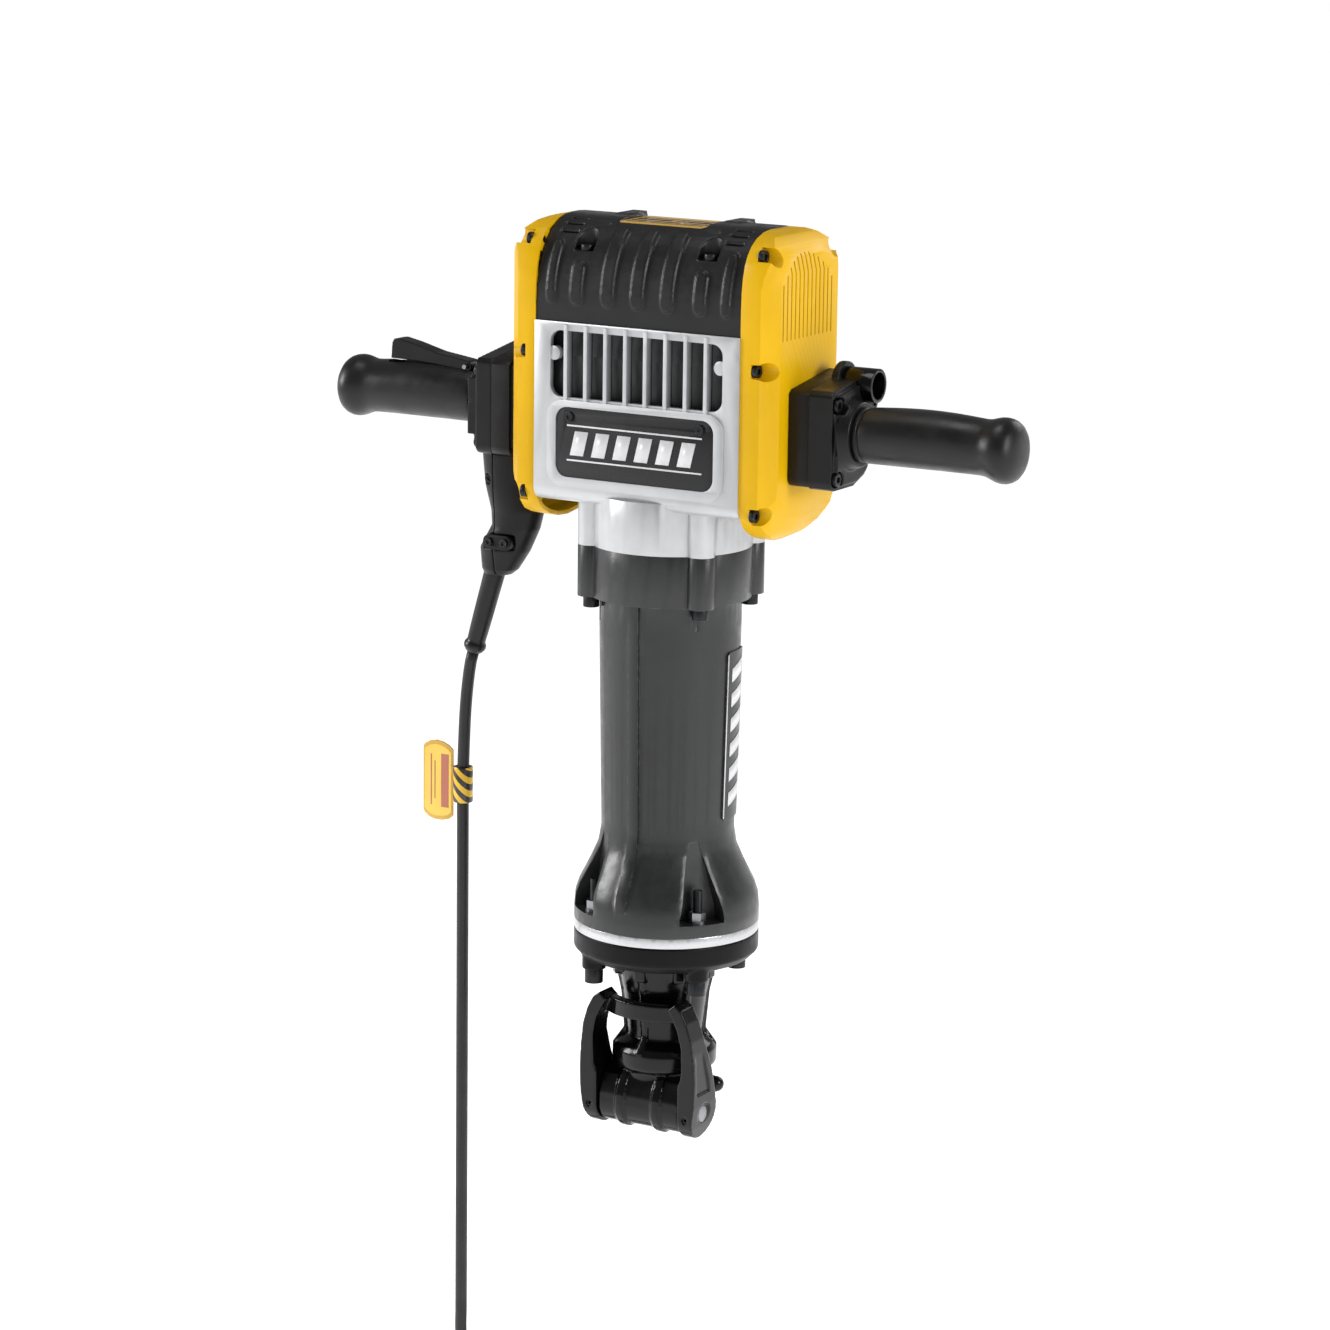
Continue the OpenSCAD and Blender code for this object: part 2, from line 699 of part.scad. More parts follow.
module switch() {
  color(c_black) difference() {
    block(-253, -187, hand_y - 7, hand_y + 7, hand_z - 1.5, hand_z + 12);
    zrod(3.05, hand_z + 4, hand_z + 14, plunger_x, hand_y);
  }
}

module switch_plunger() {
  color(c_steel) union() {
    zrod(3, hand_z + 10, 646, plunger_x, hand_y);
    zrod(4.4, 645, 648.3, plunger_x, hand_y);
  }
}

// Cable duct below the left bracket, as [x, z, half width, half depth] from the top down
duct_rings = [[-162.5, 572.7, 24.5, 19], [-159.5, 545, 24.5, 19], [-153, 523, 25, 18.5],
              [-154.5, 508, 22.5, 18], [-165.5, 487, 23.5, 18], [-170.5, 470, 17, 15],
              [-172.5, 465, 12.5, 12]];

module duct_solid() {
  for (i = [0:len(duct_rings) - 2]) hull() for (k = [0, 1]) {
    s = duct_rings[i + k];
    translate([s[0], hand_y, s[1] - 2]) scale([s[2], s[3], 1]) cylinder(r = 1, h = 2, $fn = 40);
  }
}

module duct_split(x_top, x_low) {
  along_y(-50, 50) polygon([[-168 + x_top, 590], [-168 + x_low, 440], [-168 + 200 * sign(x_low), 440],
                            [-168 + 200 * sign(x_low), 590]]);
}

module duct_outer() {
  color(c_black) difference() {
    intersection() { duct_solid(); duct_split(-0.2, -0.2); }
    yrod(5, hand_y - 30, hand_y - 10, -175, 549);
    relief_axis() translate([0, 0, -6]) cylinder(r = 9.6, h = 30);
    block(-180, -166, hand_y - 30, hand_y - 12.4, 487.5, 501.5);
  }
}

module duct_inner() {
  color(c_black) difference() {
    intersection() { duct_solid(); duct_split(0.2, 0.2); }
    block(-169, -147, hand_y - 30, hand_y - 12.4, 487.5, 501.5);
    relief_axis() translate([0, 0, -6]) cylinder(r = 9.6, h = 30);
  }
}

module duct_screws() {
  color(c_steel) {
    translate([-175, hand_y - 10.5, 549]) rotate([90, 0, 0]) cap_screw(4.2, 2.5, 2, 0.5);
    for (x = [-169.5, -154]) translate([x, -26.2, 494.5]) rotate([90, 0, 0]) cap_screw(3.6, 2.4, 2, 0.5);
  }
}

module cable_clamp() {
  color(c_black) difference() {
    along_y(-26, hand_y - 12.7) rounded(-176, -147.5, 488, 501, 6);
    for (x = [-169.5, -154]) yrod(2.05, -30, -25, x, 494.5);
  }
}

// Strain relief: it leans outwards by relief_tilt from straight down
relief_top = [-175.5, -5, 467];
relief_len = 80;
relief_tilt = 16.65;

module relief_axis() {
  translate(relief_top) rotate([0, 180 + relief_tilt, 0]) children();
}

module strain_relief() {
  outline = [[0, -6], [9.6, -6], [9.6, 6], [8.7, 60], [8.4, 70], [10, 72.5], [10.2, 75], [9.6, 77.5],
             [7.5, relief_len], [0, relief_len]];
  color(c_rubber) relief_axis() rotate_extrude() polygon(outline);
}

// Round tube along a route that stays in one upright plane through x
function unit(v) = v / norm(v);
function direction(r, i) = unit(r[min(i + 1, len(r) - 1)] - r[max(i - 1, 0)]);
function tube_ring(r, i, rad, n) =
  let (d = direction(r, i), u = [0, 1, 0], v = cross(d, u))
  [for (k = [0:n - 1]) r[i] + rad * (cos(360 * k / n) * u + sin(360 * k / n) * v)];
function tube_points(r, rad, n) = [for (i = [0:len(r) - 1]) each tube_ring(r, i, rad, n)];
function tube_faces(m, n) = concat(
  [[for (k = [0:n - 1]) k]],
  [for (i = [0:m - 2], k = [0:n - 1])
    [i * n + k, (i + 1) * n + k, (i + 1) * n + (k + 1) % n, i * n + (k + 1) % n]],
  [[for (k = [n - 1:-1:0]) (m - 1) * n + k]]);

// Straight stretches of the route are cut into steps of about three diameters
function refine(r) = concat([for (i = [0:len(r) - 2]) let (n = ceil(norm(r[i + 1] - r[i]) / (3 * cord_d)))
  for (k = [0:n - 1]) r[i] + (r[i + 1] - r[i]) * k / n], [r[len(r) - 1]]);

module cord() {
  path = refine(cord_route);
  color(c_black) polyhedron(points = tube_points(path, cord_r, 10), faces = tube_faces(len(path), 10));
}

coil_w = 1.5 * cord_d;              // half the coil's radial thickness, three turns side by side

module coil_section(grow) {
  translate([coil_r - coil_w - grow, coil_z - grow]) square([2 * (coil_w + grow), coil_h + 2 * grow]);
}

module cord_coil() {
  color(c_black) translate([coil_x, coil_y, 0]) rotate_extrude() coil_section(0);
}

module coil_tie() {
  color(c_rubber) translate([coil_x, coil_y, 0]) rotate([0, 0, 20]) rotate_extrude(angle = 12)
    difference() {
      coil_section(tie_t);
      coil_section(0.01);
    }
}

plug_r = 14.5;
plug_y = coil_y + coil_r + cord_d;  // it leaves the outermost turn

module plug() {
  body = [[0, 0], [cord_r + 0.5, 0], [cord_r + 2.5, 30], [plug_r - 1.5, 36], [plug_r, 44],
          [plug_r, 70], [plug_r - 2, 74], [0, 74]];
  color(c_rubber) translate([coil_x - 28, plug_y, ground_z + plug_r]) rotate([0, -90, 0]) union() {
    rotate_extrude() polygon(body);
    for (y = [-6, 6]) translate([-4, y - 0.8, 73]) cube([8, 1.6, 18]);
    translate([6.5, 0, 73]) cylinder(r = 2.4, h = 20);
  }
}

module cord_tag() {
  color(c_yellow) difference() {
    union() {
      zrod(9, 251, 283, -209, -5);
      along_y(-6, -4) polygon([[-216, 251], [-221, 236], [-224, 232], [-247, 232], [-251, 237],
                               [-251, 296], [-247, 301], [-224, 301], [-221, 297], [-216, 283]]);
    }
    zrod(cord_r + 0.8, 200, 320, -209, -5);
  }
}

// Motor

module stator() {
  color(c_steel) difference() {
    xrod(45, -50, 24, 0, motor_z);
    xrod(29.5, -51, 25, 0, motor_z);
  }
  color(c_copper) for (x = [-58, 24]) difference() {
    xrod(41, x, x + 8, 0, motor_z);
    xrod(30.5, x - 1, x + 9, 0, motor_z);
  }
}

module fan_blades(n) {
  for (i = [0:n - 1]) translate([0, 0, motor_z]) rotate([360 / n * i, 0, 0])
    translate([34, 0, 11]) rotate([0, 0, 24]) cube([10, 1.6, 30], center = false);
}

module armature() {
  color(c_steel) {
    xrod(6, -92, 34, 0, motor_z);
    xrod(6, 33, 66, 0, motor_z);
    difference() {
      xrod(28.5, -48, 22, 0, motor_z);
      for (i = [0:11]) translate([0, 0, motor_z]) rotate([30 * i, 0, 0])
        block(-49, 23, -1.5, 1.5, 18, 30);
    }
    // Pinion of 14 teeth
    along_x(65.9, 80) translate([0, motor_z]) gear_outline(14, module_fast, -90);
  }
  color(c_copper) xrod(17, -76, -60, 0, motor_z);
  color(c_black) {
    xrod(12, 33, 45, 0, motor_z);
    fan_blades(9);
  }
}

module commutator_bracket() {
  color(c_silver) difference() {
    along_x(-94, -81) union() {
      translate([0, motor_z]) circle(30);
      rounded(-46, 46, 701, 730, 6);
    }
    xrod(13, -92, -80, 0, motor_z);
    xrod(7, -95, -80, 0, motor_z);
  }
}

module brush_holders() {
  color(c_copper) for (s = [-1, 1])
    block(-73, -63, min(s * 17.5, s * 44), max(s * 17.5, s * 44), motor_z - 5, motor_z + 5);
}

// Bearing carrier between the motor and the gears
module gear_plate() {
  color(c_silver) difference() {
    along_x(46, 62) union() {
      translate([0, motor_z]) circle(24);
      rounded(-47.2, 47.2, 560.3, 718, 5);
    }
    xrod(16, 47, 63, 0, motor_z);
    xrod(10, 45, 63, 0, motor_z);
    xrod(11, 52, 63, 0, idler_z);
    xrod(26, 45, 63, 0, crank_z);
  }
}

module bearing(x0, x1, z, r_out, r_in) {
  difference() {
    xrod(r_out, x0, x1, 0, z);
    xrod(r_in, x0 - 1, x1 + 1, 0, z);
    difference() {
      xrod((r_out + r_in) / 2 + 1.4, x0 - 1, x0 + 1.2, 0, z);
      xrod((r_out + r_in) / 2 - 1.4, x0 - 2, x0 + 2, 0, z);
    }
  }
}

module bearings() {
  color(c_steel) {
    bearing(-91.9, -82, motor_z, 13, 6 + run);
    bearing(48, 60, motor_z, 16, 6 + run);
    bearing(53, 61.5, idler_z, 11, 6 + run);
    bearing(93.5, 99.8, idler_z, 11, 6 + run);
    bearing(46.5, 61.5, crank_z, 26, 13 + run);
    bearing(93.5, 99.8, crank_z, 16, 9 + run);
  }
}

// Gears: involute flanks at a 25 degree pressure angle, thinned for backlash
pressure = 25;
backlash = 0.3;
function involute(a) = tan(a) * 180 / PI - a;
function flank_angle(z, m, r) =
  (PI * m / 2 - backlash) / (z * m) * 180 / PI
  + involute(pressure) - involute(acos(min(1, z * m / 2 * cos(pressure) / r)));
function tooth(z, m, a) =
  let (rp = z * m / 2, rf = rp - 1.25 * m, ra = rp + 0.8 * m, rb = max(rf + 0.1, rp * cos(pressure)))
  [for (q = [[rf, flank_angle(z, m, rb)], [rb, flank_angle(z, m, rb)], [rp, flank_angle(z, m, rp)],
             [ra, flank_angle(z, m, ra)]]) q[0] * [cos(a - q[1]), sin(a - q[1])]];
function tooth_back(z, m, a) =
  let (t = tooth(z, m, 0))
  [for (i = [3:-1:0]) [t[i][0] * cos(a) + t[i][1] * sin(a), t[i][0] * sin(a) - t[i][1] * cos(a)]];

module gear_outline(z, m, a0) {
  polygon([for (i = [0:z - 1]) let (a = a0 + 360 * i / z)
           each concat(tooth(z, m, a), tooth_back(z, m, a))]);
}

module intermediate_gear() {
  color(c_steel) difference() {
    union() {
      xrod(6, 53, 99.8, 0, idler_z);
      along_x(67, 79) translate([0, idler_z]) gear_outline(60, module_fast, 90 + 3);
      along_x(78.9, 92.5) translate([0, idler_z]) gear_outline(14, module_slow, -90);
    }
    for (a = [0:60:300]) translate([0, 0, idler_z]) rotate([a, 0, 0]) xrod(8, 66, 78.5, 28, 0);
  }
}

module crankshaft() {
  tooth_gap = 90 + 180 / 44;
  color(c_steel) difference() {
    union() {
      xrod(13, 20, 64, 0, crank_z);
      xrod(10, 63, 82, 0, crank_z);
      xrod(9, 80, 99.8, 0, crank_z);
      along_x(81.5, 92.5) translate([0, crank_z]) gear_outline(44, module_slow, tooth_gap);
      xrod(24, 10.5, 21, 0, crank_z);
      xrod(8, -9.5, 11, 0, pin_z);
      // Counterweight opposite the crank pin
      intersection() {
        xrod(33, 10.5, 21, 0, crank_z);
        block(9, 22, -40, 40, crank_z + 4, crank_z + 40);
      }
    }
    for (a = [0:60:300]) translate([0, 0, crank_z]) rotate([a + 30, 0, 0]) xrod(6.5, 80, 94, 27, 0);
  }
}

module connecting_rod() {
  color(c_steel) {
    difference() {
      union() {
        xrod(15, -8, 8, 0, pin_z);
        xrod(9.5, -8, 8, 0, wrist_z);
        along_x(-4, 4) polygon([[-10, pin_z - 8], [10, pin_z - 8], [6, wrist_z + 6], [-6, wrist_z + 6]]);
      }
      xrod(8 + run, -9, 9, 0, pin_z);
      xrod(5, -9, 9, 0, wrist_z);
    }
    xrod(5, -12, 12, 0, wrist_z);
  }
}

// Hammer mechanism

module piston() {
  color(c_steel) difference() {
    zrod(cylinder_r, 424, 516);
    zrod(cylinder_r - 5, 436, 517);
    xrod(5, -40, 40, 0, wrist_z);
    for (z = [430, 505]) difference() {
      zrod(cylinder_r + 1, z - 1.2, z + 1.2);
      zrod(cylinder_r - 2, z - 2, z + 2);
    }
  }
}

module hammer_cylinder() {
  color(c_steel) difference() {
    union() {
      zrod(42 - run, 251, 556);
      zrod(51.9, 500, collar_z1);
    }
    zrod(cylinder_r + run, 250, 557);
    // Air vents
    for (a = [0:60:300]) rotate([0, 0, a]) yrod(3, 20, 50, 0, 410);
  }
}

module ram() {
  color(c_steel) difference() {
    zrod(cylinder_r, 330, 392);
    for (z = [340, 382]) difference() {
      zrod(cylinder_r + 1, z - 1.2, z + 1.2);
      zrod(cylinder_r - 2, z - 2, z + 2);
    }
    zrod(14, 372, 393);
  }
}

module anvil() {
  color(c_steel) {
    zrod(18, 152, 250);
    zrod(30, 246, 290);
    zrod(20, 289, 318);
  }
}

module anvil_bushing() {
  color(c_dark) difference() {
    union() {
      zrod(44, flange_z0 + 12.2, 206);
      zrod(51.9, 206, 245.6);
    }
    zrod(18 + run, flange_z0 + 12, 246);
  }
}

// Fasteners

module collar_bolts() {
  color(c_black) for (x = [-lobe_x, lobe_x], y = [-lobe_y, lobe_y])
    translate([x, y, collar_z0]) mirror([0, 0, 1]) cap_screw(7, 10, 5, 80);
}

module flange_bolts() {
  color(c_black) four_corners(bolt_pcd_r) translate([0, 0, flange_z0 - 9]) mirror([0, 0, 1])
    cap_screw(8, 12, 4, 81);
}

module flange_nuts() {
  color(c_steel) four_corners(bolt_pcd_r) difference() {
    union() {
      zrod(8, 187, 188.6);
      zrod(7.5, 188.5, 196, $fn = 6);
    }
    zrod(4, 186, 197);
  }
}

gear_housing();
barrel_housing();
spacer_ring();
front_flange();
nose_housing();
tool_bushing();
latch();
latch_pin();
latch_roll_pins();
top_cover();
top_cover_screws();
top_label();
side_cover_right();
side_cover_left();
side_cover_screws();
nameplate();
nameplate_screws();
barrel_badge();
bracket_right_base();
bracket_right_cover();
handle_core_right();
grip_right();
accessory_tube();
bracket_left_base();
bracket_left_body();
bracket_left_cover();
bracket_screws();
handle_core_left();
grip_left();
trigger();
trigger_pin();
switch();
switch_plunger();
duct_outer();
duct_inner();
cable_clamp();
duct_screws();
strain_relief();
cord();
cord_coil();
coil_tie();
plug();
cord_tag();
stator();
armature();
commutator_bracket();
brush_holders();
gear_plate();
bearings();
intermediate_gear();
crankshaft();
connecting_rod();
piston();
hammer_cylinder();
ram();
anvil();
anvil_bushing();
collar_bolts();
flange_bolts();
flange_nuts();
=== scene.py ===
"""Looks, cord and studio for the demolition hammer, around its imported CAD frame."""
import json
import math

import bmesh
import bpy
from mathutils import Matrix, Vector


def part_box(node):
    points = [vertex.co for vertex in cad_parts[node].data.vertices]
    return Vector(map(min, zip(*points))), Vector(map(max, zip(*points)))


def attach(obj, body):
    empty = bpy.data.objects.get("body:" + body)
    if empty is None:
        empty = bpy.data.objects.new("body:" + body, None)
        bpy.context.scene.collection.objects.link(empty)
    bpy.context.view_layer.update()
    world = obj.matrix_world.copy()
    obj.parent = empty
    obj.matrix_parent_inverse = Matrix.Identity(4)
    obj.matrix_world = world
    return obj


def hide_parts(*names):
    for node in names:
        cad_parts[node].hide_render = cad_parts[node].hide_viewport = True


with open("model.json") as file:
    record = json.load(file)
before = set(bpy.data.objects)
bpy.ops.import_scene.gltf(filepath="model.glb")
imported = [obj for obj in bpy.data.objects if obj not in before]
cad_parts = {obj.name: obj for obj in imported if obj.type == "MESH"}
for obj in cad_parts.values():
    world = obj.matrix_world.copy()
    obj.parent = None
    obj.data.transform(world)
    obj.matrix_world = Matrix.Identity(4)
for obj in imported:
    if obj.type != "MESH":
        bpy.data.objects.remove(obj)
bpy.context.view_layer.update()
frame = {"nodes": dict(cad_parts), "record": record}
NODES = frame["nodes"]
MM = 0.001


def mm(*values):
    """A point given in millimetres, as a Vector in metres."""
    return Vector(values) * MM


# ---------------------------------------------------------------- camera

VIEW_AZIMUTH = math.radians(30.0)
VIEW_ELEVATION = math.radians(12.13)
VIEW_ROLL = math.radians(0.78)
VIEW_DISTANCE = 3.8104
VIEW_TARGET = mm(-3.7, -2.1, 399.7)
LENS_MM = 119.08


def make_camera():
    back = Vector((math.sin(VIEW_AZIMUTH) * math.cos(VIEW_ELEVATION),
                   -math.cos(VIEW_AZIMUTH) * math.cos(VIEW_ELEVATION),
                   math.sin(VIEW_ELEVATION)))
    level = Vector((math.cos(VIEW_AZIMUTH), math.sin(VIEW_AZIMUTH), 0))
    upright = back.cross(level)
    right = level * math.cos(VIEW_ROLL) + upright * math.sin(VIEW_ROLL)
    up = back.cross(right)
    data = bpy.data.cameras.new("view")
    data.sensor_width = 36
    data.lens = LENS_MM
    camera = bpy.data.objects.new("view", data)
    bpy.context.scene.collection.objects.link(camera)
    turn = Matrix((right, up, back)).transposed().to_4x4()
    camera.matrix_world = Matrix.Translation(VIEW_TARGET + back * VIEW_DISTANCE) @ turn
    bpy.context.scene.camera = camera


make_camera()

# ---------------------------------------------------------------- materials


def srgb(r, g, b):
    """A linear colour from 0 to 255 screen values."""
    def one(v):
        v /= 255
        return v / 12.92 if v <= 0.04045 else ((v + 0.055) / 1.055) ** 2.4
    return (one(r), one(g), one(b), 1.0)


class Shader:
    """A material being built: its node tree and the helpers that add to it."""

    def __init__(self, name):
        self.material = bpy.data.materials.new(name)
        self.material.use_nodes = True
        self.tree = self.material.node_tree
        self.surface = self.tree.nodes["Principled BSDF"]
        self.place = self.node("ShaderNodeTexCoord").outputs["Object"]

    def node(self, kind, **settings):
        made = self.tree.nodes.new(kind)
        for key, value in settings.items():
            setattr(made, key, value)
        return made

    def link(self, source, socket):
        self.tree.links.new(source, socket)

    def set(self, **values):
        for key, value in values.items():
            self.surface.inputs[key.replace("_", " ")].default_value = value

    def scaled(self, scale):
        """Object coordinates stretched by a vector."""
        made = self.node("ShaderNodeMapping")
        made.inputs["Scale"].default_value = scale
        self.link(self.place, made.inputs["Vector"])
        return made.outputs["Vector"]

    def noise(self, scale, detail=3.0, stretch=(1, 1, 1), rough=0.5):
        made = self.node("ShaderNodeTexNoise")
        made.inputs["Scale"].default_value = scale
        made.inputs["Detail"].default_value = detail
        made.inputs["Roughness"].default_value = rough
        self.link(self.scaled(stretch), made.inputs["Vector"])
        return made.outputs["Fac"]

    def ramp(self, source, low, high, to_low=0.0, to_high=1.0):
        made = self.node("ShaderNodeMapRange", interpolation_type="SMOOTHSTEP")
        for key, value in (("From Min", low), ("From Max", high), ("To Min", to_low),
                           ("To Max", to_high)):
            made.inputs[key].default_value = value
        self.link(source, made.inputs["Value"])
        return made.outputs["Result"]

    def math(self, operation, a, b):
        made = self.node("ShaderNodeMath", operation=operation)
        for socket, value in zip(made.inputs, (a, b)):
            if isinstance(value, (int, float)):
                socket.default_value = value
            else:
                self.link(value, socket)
        return made.outputs[0]

    def mix(self, factor, a, b):
        """Colour a where factor is 0, b where it is 1."""
        made = self.node("ShaderNodeMix", data_type="RGBA")
        self.link(factor, made.inputs["Factor"])
        for socket, value in ((made.inputs["A"], a), (made.inputs["B"], b)):
            if isinstance(value, tuple):
                socket.default_value = value
            else:
                self.link(value, socket)
        return made.outputs["Result"]

    def axis(self, name):
        made = self.node("ShaderNodeSeparateXYZ")
        self.link(self.place, made.inputs[0])
        return made.outputs[name]

    def edge(self, radius):
        """1 on a sharp edge, 0 on open surface."""
        bevel = self.node("ShaderNodeBevel", samples=4)
        bevel.inputs["Radius"].default_value = radius
        shape = self.node("ShaderNodeNewGeometry")
        dot = self.node("ShaderNodeVectorMath", operation="DOT_PRODUCT")
        self.link(bevel.outputs["Normal"], dot.inputs[0])
        self.link(shape.outputs["Normal"], dot.inputs[1])
        return self.ramp(dot.outputs["Value"], 0.985, 0.86)

    def bump(self, height, strength, distance):
        made = self.node("ShaderNodeBump")
        made.inputs["Strength"].default_value = strength
        made.inputs["Distance"].default_value = distance
        self.link(height, made.inputs["Height"])
        old = self.surface.inputs["Normal"]
        if old.is_linked:
            self.link(old.links[0].from_socket, made.inputs["Normal"])
        self.link(made.outputs["Normal"], old)

    def colour(self, source):
        self.link(source, self.surface.inputs["Base Color"])

    def roughness(self, source):
        self.link(source, self.surface.inputs["Roughness"])


def shade(colour, factor):
    return tuple(c * factor for c in colour[:3]) + (1.0,)


def moulded(name, colour, rough, grain=0.5, coat=0.0, wear=None, gloss=0.5):
    """Injection-moulded plastic: fine spark grain, faint cloudiness, duller scuffs."""
    s = Shader(name)
    cloud = s.noise(14, 4)
    tone = s.mix(s.ramp(cloud, 0.3, 0.7), shade(colour, 0.94), shade(colour, 1.05))
    if wear is not None:
        rubbed = s.math("MULTIPLY", s.edge(0.0009), s.ramp(s.noise(120, 4), 0.42, 0.62, 0.0, 0.55))
        tone = s.mix(rubbed, tone, wear)
    s.colour(tone)
    scuff = s.ramp(s.noise(55, 5, rough=0.65), 0.35, 0.7, rough - 0.05, rough + 0.08)
    s.roughness(scuff)
    s.bump(s.noise(1500, 2), grain, 0.00006)
    s.bump(s.noise(35, 2), 0.12, 0.0004)
    s.set(Coat_Weight=coat, Coat_Roughness=0.2, Specular_IOR_Level=gloss)
    return s.material


def painted_casting(name, colour, rough, coat=0.0, pitted=0.35, wear=None, gloss=0.5):
    """Enamel over a sand casting: orange peel, slow waves, chips of metal on the edges."""
    s = Shader(name)
    cloud = s.noise(9, 5)
    tone = s.mix(s.ramp(cloud, 0.3, 0.7), shade(colour, 0.88), shade(colour, 1.1))
    if wear is not None:
        chipped = s.math("MULTIPLY", s.edge(0.0008), s.ramp(s.noise(160, 5), 0.5, 0.58, 0.0, 0.7))
        tone = s.mix(chipped, tone, wear)
    s.colour(tone)
    s.roughness(s.ramp(s.noise(70, 4), 0.3, 0.7, rough - 0.05, rough + 0.09))
    s.bump(s.noise(420, 4, rough=0.6), pitted, 0.00022)
    s.bump(s.noise(45, 2), 0.2, 0.0006)
    s.set(Coat_Weight=coat, Coat_Roughness=0.12, Specular_IOR_Level=gloss)
    return s.material


def bare_casting(name, colour, rough):
    """Die-cast aluminium with a fine blasted skin."""
    s = Shader(name)
    tone = s.mix(s.ramp(s.noise(18, 5), 0.3, 0.7), shade(colour, 0.93), shade(colour, 1.04))
    # Painted shade: the colour drops to a tenth of itself between the bars of the grille
    inward = s.ramp(s.axis("Y"), -0.0602, -0.0575)
    above = s.ramp(s.axis("Z"), 0.6335, 0.6345)
    below = s.ramp(s.axis("Z"), 0.6985, 0.6995, 1.0, 0.0)
    ahead = s.ramp(s.axis("Y"), 0.057, 0.059, 1.0, 0.0)
    painted_grille_shade = s.math("MULTIPLY", s.math("MULTIPLY", inward, ahead), s.math("MULTIPLY", above, below))
    # Painted shade is mixed in where the grille mask is 1
    tone = s.mix(painted_grille_shade, tone, shade(colour, 0.1))
    s.colour(tone)
    s.roughness(s.ramp(s.noise(90, 5), 0.3, 0.7, rough - 0.06, rough + 0.08))
    s.bump(s.noise(900, 3), 0.45, 0.0001)
    s.bump(s.noise(60, 3), 0.12, 0.0004)
    s.set(Metallic=0.55, Specular_IOR_Level=0.6)
    return s.material


def turned(name, colour, rough, stretch=(1, 1, 60)):
    """Turned or ground steel: fine lines that run round the axis across stretch."""
    s = Shader(name)
    lines = s.noise(40, 6, stretch, 0.7)
    tone = s.mix(s.ramp(lines, 0.25, 0.75), shade(colour, 0.82), shade(colour, 1.06))
    s.colour(tone)
    s.roughness(s.ramp(lines, 0.3, 0.7, rough - 0.06, rough + 0.1))
    s.bump(lines, 0.15, 0.0001)
    s.set(Metallic=1.0)
    return s.material


def rubber(name, colour, rough, grain=0.6):
    """Moulded rubber: powdery sheen, fine pebble and faint handling marks."""
    s = Shader(name)
    tone = s.mix(s.ramp(s.noise(25, 5), 0.3, 0.7), shade(colour, 0.86), shade(colour, 1.14))
    s.colour(tone)
    s.roughness(s.ramp(s.noise(48, 5, rough=0.6), 0.3, 0.7, rough - 0.1, rough + 0.06))
    s.bump(s.noise(1100, 3), grain, 0.00008)
    s.bump(s.noise(80, 3), 0.15, 0.0003)
    s.set(Sheen_Weight=0.04, Sheen_Roughness=0.5, Specular_IOR_Level=0.34)
    return s.material


def black_oxide(name):
    s = Shader(name)
    base = srgb(40, 41, 43)
    rubbed = s.math("MULTIPLY", s.edge(0.0004), s.ramp(s.noise(300, 4), 0.4, 0.6, 0.1, 0.8))
    s.colour(s.mix(rubbed,
                   s.mix(s.ramp(s.noise(130, 4), 0.3, 0.7), shade(base, 0.8), shade(base, 1.3)),
                   srgb(150, 150, 152)))
    s.roughness(s.ramp(s.noise(200, 4), 0.3, 0.7, 0.3, 0.5))
    s.bump(s.noise(900, 3), 0.2, 0.00006)
    s.set(Metallic=0.8)
    return s.material


def stacked(name, colour, pitch):
    """Laminations: thin sheets stacked along X, pitch apart."""
    s = Shader(name)
    wave = s.math("PINGPONG", s.axis("X"), pitch / 2)
    groove = s.ramp(wave, 0.0, pitch * 0.12)
    s.colour(s.mix(groove, shade(colour, 0.35), s.mix(s.noise(60, 4), shade(colour, 0.85), colour)))
    s.roughness(s.ramp(s.noise(120, 4), 0.3, 0.7, 0.35, 0.55))
    s.bump(groove, 0.5, 0.0002)
    s.set(Metallic=0.9)
    return s.material


def windings(name, colour):
    """Enamelled copper wire: rounded strands with a varnish coat."""
    s = Shader(name)
    strands = s.noise(30, 3, (70, 3, 3))
    s.colour(s.mix(s.ramp(strands, 0.3, 0.7), shade(colour, 0.6), shade(colour, 1.15)))
    s.roughness(s.ramp(s.noise(90, 3), 0.3, 0.7, 0.25, 0.4))
    s.bump(strands, 0.5, 0.0005)
    s.set(Metallic=0.85, Coat_Weight=0.5, Coat_Roughness=0.15)
    return s.material


def slanted(name, first, second, pitch, axes=("X", "Z"), share=0.5):
    """Printed film with diagonal bars of two colours."""
    s = Shader(name)
    line = s.math("ADD", s.axis(axes[0]), s.axis(axes[1]))
    phase = s.math("FRACT", s.math("MULTIPLY", s.math("ADD", line, 10.0), 1 / pitch), 0.0)
    bars = s.ramp(phase, share - 0.02, share + 0.02)
    wash = s.ramp(s.noise(60, 4), 0.3, 0.7, 0.0, 0.12)
    s.colour(s.mix(wash, s.mix(bars, first, second), srgb(120, 110, 90)))
    s.roughness(s.ramp(s.noise(120, 4), 0.3, 0.7, 0.28, 0.42))
    s.bump(s.noise(500, 3), 0.15, 0.00008)
    s.set(Coat_Weight=0.3, Coat_Roughness=0.2)
    return s.material


